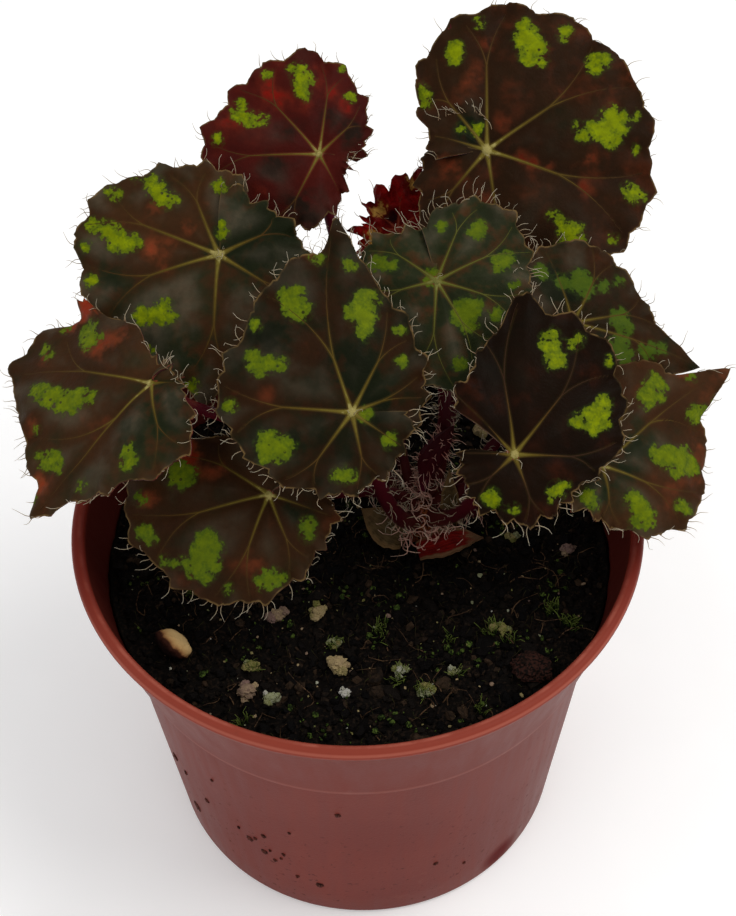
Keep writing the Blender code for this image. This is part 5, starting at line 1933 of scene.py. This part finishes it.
def soil_height(px, py):
    """The height of the soil's top at a place in the pot."""
    bumps = SOIL_RELIEF * (soil_noise(px, py, 0.13, 3.0) + 0.5 * soil_noise(px, py, 0.37, 7.0))
    for (seat_x, seat_y), seat_radius in SEATS:
        away = math.hypot(px - seat_x, py - seat_y)
        bumps *= float(smooth_step(seat_radius, seat_radius + SEAT_MARGIN, away))
    clods = 0.55 * soil_noise(px, py, 0.8, 11.0) + 0.4 * soil_noise(px, py, 1.9, 13.0)
    return SOIL_LEVEL + bumps + clods


def round_places(radius):
    """Places all round the pot's axis at one distance from it."""
    angles = [math.tau * sector / SOIL_SECTORS for sector in range(SOIL_SECTORS)]
    return [(radius * math.cos(angle), radius * math.sin(angle)) for angle in angles]


def make_soil():
    points = []
    for row in range(SOIL_ROWS):
        places = round_places(SOIL_RADIUS * ((row + 1) / SOIL_ROWS) ** 0.85)
        points += [(px, py, soil_height(px, py)) for px, py in places]
    for radius, height in SOIL_SIDE:
        points += [(px, py, height) for px, py in round_places(radius)]
    rows = SOIL_ROWS + len(SOIL_SIDE)
    faces = ring_faces(rows, SOIL_SECTORS, flip=True)
    centre, low = len(points), (rows - 1) * SOIL_SECTORS
    points += [(0.0, 0.0, soil_height(0.0, 0.0)), (0.0, 0.0, SOIL_FOOT)]
    for sector in range(SOIL_SECTORS):
        beside = (sector + 1) % SOIL_SECTORS
        faces.append((centre, sector, beside))
        faces.append((centre + 1, low + beside, low + sector))
    return new_piece("begonia_soil", points, faces, (soil_finish,), sharp=180.0)


soil = hand_over(make_soil(), "soil", "soil")

# %% [markdown]
# Crumbs by rule.
# There are thousands of crumbs and no two look alike, so a tree scatters them. It spreads points
# over a ground, sets a small ball on each, makes it large or small, flat and turned by chance, and
# then dents all of them at once with noise. Small crumbs are far more common than large ones,
# because the chance number is raised to a power. Some kinds gather in beds, as algae does.

# %% The crumb tree
COMMON_SMALL = 2.5
FULL_TURN = 6.283


def make_crumb_tree():
    takes = {
        "Ground": "mesh",
        "Density": 0.5e6,
        "Smallest": 0.25 * MM,
        "Largest": 0.8 * MM,
        "Flatness": 0.7,
        "Roughness": 0.5,
        "Lift": 0.0,
        "Detail": 1,
        "Gathered": 0.0,
        "Seed": 1,
        "Finish": "finish",
    }
    tree, given, result = new_tree("crumbs on a ground", "GeometryNodeTree", takes, {"Mesh": "mesh"})
    seeds = [maths(tree, "ADD", given["Seed"], step) for step in (3.0, 5.0, 7.0, 9.0)]
    size_seed, stretch_seed, spin_seed, tint_seed = seeds
    # Where the crumbs lie: everywhere, or only in beds.
    here = add(tree, "GeometryNodeInputPosition").outputs[0]
    feeds = {"Value": clouds(tree, 150.0, 1.0, place=here), "From Min": 0.54, "From Max": 0.64}
    beds = add(tree, "ShaderNodeMapRange", feeds).outputs["Result"]
    spare = minus(tree, 1.0, times(tree, given["Gathered"], minus(tree, 1.0, beds)))
    feeds = {"Mesh": given["Ground"], "Density": times(tree, given["Density"], spare), "Seed": given["Seed"]}
    spread = add(tree, "GeometryNodeDistributePointsOnFaces", feeds).outputs["Points"]
    # The size, shape and turn of each.
    power = maths(tree, "POWER", dice(tree, 0.0, 1.0, size_seed), COMMON_SMALL)
    size = times_plus(tree, minus(tree, given["Largest"], given["Smallest"]), power, given["Smallest"])
    stretch = dice(tree, (0.7, 0.7, 0.7), (1.3, 1.3, 1.0), stretch_seed, "FLOAT_VECTOR")
    flat = add(tree, "ShaderNodeCombineXYZ", {"X": 1.0, "Y": 1.0, "Z": given["Flatness"]}).outputs[0]
    feeds = {0: scaled(tree, stretch, size), 1: flat}
    scale = add(tree, "ShaderNodeVectorMath", feeds, operation="MULTIPLY").outputs[0]
    spin = dice(tree, (-0.5, -0.5, 0.0), (0.5, 0.5, FULL_TURN), spin_seed, "FLOAT_VECTOR")
    turned = add(tree, "FunctionNodeEulerToRotation", {"Euler": spin}).outputs[0]
    ball = add(tree, "GeometryNodeMeshIcoSphere", {"Radius": 1.0, "Subdivisions": given["Detail"]}).outputs[0]
    feeds = {"Points": spread, "Instance": ball, "Rotation": turned, "Scale": scale}
    placed = add(tree, "GeometryNodeInstanceOnPoints", feeds).outputs[0]
    marked = mark(tree, placed, "tint", dice(tree, 0.0, 1.0, tint_seed), domain="INSTANCE")
    real = add(tree, "GeometryNodeRealizeInstances", {"Geometry": marked}).outputs[0]
    # Noise dents them all, and the lift raises them out of the soil.
    amount = times(tree, given["Largest"], times(tree, given["Roughness"], 3.0))
    shift = cloud_shift(tree, maths(tree, "DIVIDE", 1.1, given["Largest"]), 2.0, amount)
    lifted = add(tree, "ShaderNodeCombineXYZ", {"Z": given["Lift"]}).outputs[0]
    offset = add(tree, "ShaderNodeVectorMath", {0: shift, 1: lifted}, operation="ADD").outputs[0]
    return end_tree(tree, result, move(tree, real, offset), given["Finish"])


crumb_tree = make_crumb_tree()
print("nodes in the crumb tree:", len(crumb_tree.nodes))

# %% [markdown]
# Strewing the crumbs.
# The ground that the tree gets is a copy of the soil, cut down to its open top: not under the
# crown, not against the wall, and for the moss only round given spots.

# %% Scatter the crumbs
CROWN_CLEAR = 6.5
SOIL_TOP_ABOVE = 61.0


def open_ground(radius_limit, spots=()):
    """The soil's open top inside a radius, or only the parts of it near the spots."""

    def cut_down(work):
        doomed = []
        for vertex in work.verts:
            px, py, pz = vertex.co / MM
            near_crown = math.hypot(px - CROWN_AT[0], py - CROWN_AT[1]) < CROWN_CLEAR
            bare = spots and min(math.hypot(px - sx, py - sy) / size for sx, sy, size in spots) > 1.0
            if math.hypot(px, py) > radius_limit or pz < SOIL_TOP_ABOVE or near_crown or bare:
                doomed.append(vertex)
        bmesh.ops.delete(work, geom=doomed, context="VERTS")

    ground = soil.data.copy()
    rework(ground, cut_down)
    return ground


def scatter(name, made_of, radius_limit, **sizes):
    piece = grow(name, open_ground(radius_limit), crumb_tree, finish=made_of, roughness=0.4, **sizes)
    piece.data.shade_flat()
    hand_over(piece, "soil")


scatter(
    "soil_crumbs", crumb_finish, 43.9, density=0.7e6, smallest=0.2 * MM, largest=1.0 * MM, flatness=0.8,
    lift=0.12 * MM, seed=3,
)
scatter(
    "soil_clods", crumb_finish, 43.0, density=0.035e6, smallest=0.7 * MM, largest=2.0 * MM, flatness=0.6,
    lift=0.1 * MM, detail=2, seed=8,
)
scatter(
    "soil_algae", algae_finish, 42.0, density=0.26e6, smallest=0.18 * MM, largest=0.7 * MM, flatness=0.9,
    lift=0.35 * MM, gathered=1.0, seed=12,
)
scatter(
    "soil_grit", perlite_finish, 42.5, density=0.05e6, smallest=0.12 * MM, largest=0.45 * MM, flatness=0.8,
    lift=0.3 * MM, seed=14,
)

# %% [markdown]
# Root fibres, sprouts and moss.
# Fine roots lie loose on the soil, short brown-green sprouts stand in it, and moss grows in small
# tufts. All three are thin strands, so the tree that grows hairs on a skin makes them too, with
# other lengths, tilts and colours.

# %% Grow the fibres, sprouts and moss
MOSS = (
    (33.5, -14.2, 1.8), (35.7, -16.8, 1.8), (36.8, -19.0, 1.4), (22.6, -18.9, 1.6), (6.3, -27.3, 1.6),
    (10.3, -31.1, 1.6), (16.1, -27.3, 1.2), (3.2, -18.0, 1.5), (25.9, -21.1, 1.3), (19.6, -34.7, 1.5),
    (-19.8, -35.9, 1.4), (-18.9, -25.0, 1.4), (-5.1, -20.6, 1.3), (15.2, -20.3, 1.2), (-24.0, 20.0, 1.6),
    (10.0, 30.0, 1.8), (33.7, -25.2, 1.1), (-30.0, -8.0, 1.3),
)


def strew(name, ground, **sizes):
    hand_over(grow(name, ground, skin_hairs, share=1.0, **sizes), "soil")


strew(
    "soil_fibres", open_ground(41.0), density=0.024e6, length=5.5 * MM, tilt=1.45, curl=2.4 * MM,
    curl_size=4.0 * MM, thickness=0.13 * MM, seed=21, finish=fibre_finish,
)
strew(
    "soil_sprouts", open_ground(41.5), density=0.11e6, length=2.4 * MM, tilt=0.6, loop=0.1, curl=0.8 * MM,
    curl_size=2.5 * MM, thickness=0.1 * MM, steps=5, seed=33, finish=sprout_finish,
)
strew(
    "soil_moss", open_ground(42.0, MOSS), density=6.0e6, length=2.1 * MM, tilt=0.55, loop=0.2, curl=0.5 * MM,
    curl_size=1.5 * MM, thickness=0.13 * MM, steps=5, seed=44, finish=moss_finish,
)

# %% [markdown]
# Stones.
# One tan pebble lies at the left and a chip of bark at the right. Both are rounded lumps, pressed
# in and out by noise, each at the CAD's place. Twenty grains of perlite are strewn on the soil, most
# of them in front. Perlite is puffed glass that crumbles, so a grain is one lump with five smaller
# ones against it.

# %% Make the stones
PERLITE = (
    (-14.5, -13.9, 2.4, 0.02), (-7.5, -13.5, 2.0, 0.4), (-5.1, -20.2, 1.6, 0.62), (-4.2, -24.6, 2.5, 0.3),
    (-18.9, -24.4, 1.9, 0.6), (-19.6, -29.8, 2.4, 0.06), (-15.7, -31.0, 1.8, 0.8), (-3.0, -30.5, 1.4, 0.88),
    (6.3, -26.3, 1.6, 0.74), (10.4, -30.1, 1.9, 0.64), (15.3, -26.7, 1.4, 0.72), (37.8, -1.2, 1.8, 0.0),
    (-2.0, 20.0, 1.8, 0.3), (-24.0, 12.0, 1.7, 0.8), (24.0, 28.0, 2.0, 0.3), (4.0, 34.0, 1.8, 0.1),
    (-14.0, 30.0, 2.1, 0.9), (33.0, 14.0, 1.6, 0.4), (24.1, -18.3, 2.0, 0.62), (28.0, 2.0, 1.5, 0.6),
)
CRUMBS_PER_GRAIN = 6
GRAIN_CORE = 0.62


def lump(place, half_size, turn, seed, pits, rest=-1.0, detail=4):
    """A rounded stone: a fine ball squeezed, dented by noise and cut flat underneath."""
    work = bmesh.new()
    bmesh.ops.create_icosphere(work, subdivisions=detail, radius=1.0)
    for vertex in work.verts:
        direction = vertex.co.normalized()
        dent = 0.16 * noise.noise(direction * 1.3 + Vector((seed, 0.0, 0.0)))
        dent += pits * noise.noise(direction * 3.4 + Vector((0.0, seed, 0.0)))
        dent += 0.5 * pits * noise.noise(direction * 8.0 + Vector((0.0, 0.0, seed)))
        vertex.co = direction * (1.0 + dent)
        vertex.co.z = max(vertex.co.z, rest)
        vertex.co = Vector([side * half for side, half in zip(vertex.co, half_size)])
    cosine, sine = math.cos(math.radians(turn)), math.sin(math.radians(turn))
    points = []
    for vertex in work.verts:
        px, py, pz = vertex.co
        points.append((place[0] + px * cosine - py * sine, place[1] + px * sine + py * cosine, place[2] + pz))
    faces = [tuple(vertex.index for vertex in face.verts) for face in work.faces]
    work.free()
    return points, faces


def make_perlite():
    chance = random.Random(11)
    lumps, tints = [], []
    for index, (px, py, size, tint) in enumerate(PERLITE):
        for crumb in range(CRUMBS_PER_GRAIN):
            part = size * (GRAIN_CORE if crumb == 0 else chance.uniform(0.22, 0.5))
            spread = 0.0 if crumb == 0 else size * GRAIN_CORE
            bearing = chance.uniform(0.0, math.tau)
            bx, by = px + spread * math.cos(bearing), py + 0.8 * spread * math.sin(bearing)
            place = (bx, by, soil_height(bx, by) + size * chance.uniform(0.15, 0.4))
            half_size = (part, part * 0.85, part * 0.8)
            lumps.append(lump(place, half_size, 47.0 * crumb, index + 9.0 * crumb, 0.4, -0.9, 3))
            own_tint = min(max(tint + chance.uniform(-0.15, 0.15), 0.0), 1.0)
            tints += [own_tint] * len(lumps[-1][0])
    points, faces = gather(lumps)
    return new_piece("perlite_grains", points, faces, (perlite_finish,), {"tint": tints}, sharp=40.0)


def pebble_shadow(px, py, pz):
    """The pebble is painted dark, as shade, on the side that faces down and to the front left."""
    return 0.5 - 0.25 * (px - PEBBLE_AT[0]) - 0.19 * (py - PEBBLE_AT[1]) - 0.17 * (pz - 66.2)


points, faces = lump((*PEBBLE_AT, 65.75), (3.5, 2.3, 1.9), 138.0, 4.0, 0.05, -0.8)
shadow = [pebble_shadow(*point) for point in points]
stone = new_piece("pebble_stone", points, faces, (pebble_finish,), {"shadow": shadow}, sharp=180.0)
hand_over(stone, "pebble", "pebble")
points, faces = lump((*BARK_AT, 65.2), (3.5, 2.8, 1.4), -15.0, 9.0, 0.22, -0.8)
hand_over(new_piece("bark_piece", points, faces, (bark_finish,), sharp=40.0), "bark", "bark_chip")
hand_over(make_perlite(), "pebble")

# %% [markdown]
# Specks on the pot.
# Dry crumbs of soil cling to the outside of the pot, mostly low on its left. Each is a flattened
# lump pressed against the wall at its own bearing and height.

# %% Specks on the wall
speck_finish = mottled(
    "dried soil", (52, 26, 20), (80, 40, 32), (24, 12, 10), (0.8, 0.3), (0.5, 0.3), 0.8, 0.1
)
SPECKS = (
    (-114, 19.6, 0.35), (-117, 21.4, 0.4), (-110, 13.4, 0.5), (-126, 25.0, 0.4), (-113, 22.0, 0.5),
    (-116, 17.6, 0.5), (-150, 30.3, 1.1), (-145, 29.4, 0.6), (-146, 14.8, 1.3), (-137, 26.3, 0.7),
    (-123, 22.6, 0.9), (-118, 27.2, 0.7), (-119, 19.6, 0.8), (-121, 24.0, 0.5), (-97, 44.4, 0.6),
    (-104, 11.7, 0.9), (-72, 18.2, 0.6), (-131, 40.0, 0.4), (-110, 33.0, 0.4), (-63, 12.6, 0.4),
    (120, 22.0, 0.8), (60, 35.0, 0.6), (20, 18.0, 0.9), (172, 26.0, 0.7),
)
WALL_FLARE = 0.0885
SPECK_DEPTH = 0.25


def make_specks():
    lumps = []
    for index, (bearing, height, size) in enumerate(SPECKS):
        wall = POT_BASE_RADIUS + (height - 1.0) * WALL_FLARE
        cosine, sine = math.cos(math.radians(bearing)), math.sin(math.radians(bearing))
        half_size = (SPECK_DEPTH, size * 0.8, size)
        points, faces = lump((0.0, 0.0, 0.0), half_size, 0.0, 3.0 + index, 0.55, detail=3)
        pressed = []
        for px, py, pz in points:
            out = wall + px
            pressed.append((out * cosine - py * sine, out * sine + py * cosine, height + pz))
        lumps.append((pressed, faces))
    points, faces = gather(lumps)
    return new_piece("pot_specks", points, faces, (speck_finish,), sharp=50.0)


hand_over(make_specks(), "soil")

# %% [markdown]
# The floor.
# A plain pale floor catches the pot's soft shadow. It isn't part of the object.

# %% Floor
FLOOR_HALF = 900.0
FLOOR_DROP = 0.2


def make_floor():
    greys = ((level, level, level) for level in (250, 247, 248))
    made = mottled("pale floor", *greys, (60.0, 20.0), roughness=0.9, depth=0.0)
    glow = made.node_tree.nodes["Principled BSDF"].inputs
    glow["Emission Color"].default_value = (1.0, 1.0, 1.0, 1.0)
    glow["Emission Strength"].default_value = 0.15
    points = [(FLOOR_HALF * x, FLOOR_HALF * y, -FLOOR_DROP) for x, y in ((-1, -1), (1, -1), (1, 1), (-1, 1))]
    floor = new_piece("floor", points, [(0, 1, 2, 3)], (made,), recalculate=False)
    print("floor in mm:", [round(1000 * side) for side in floor.dimensions])


make_floor()
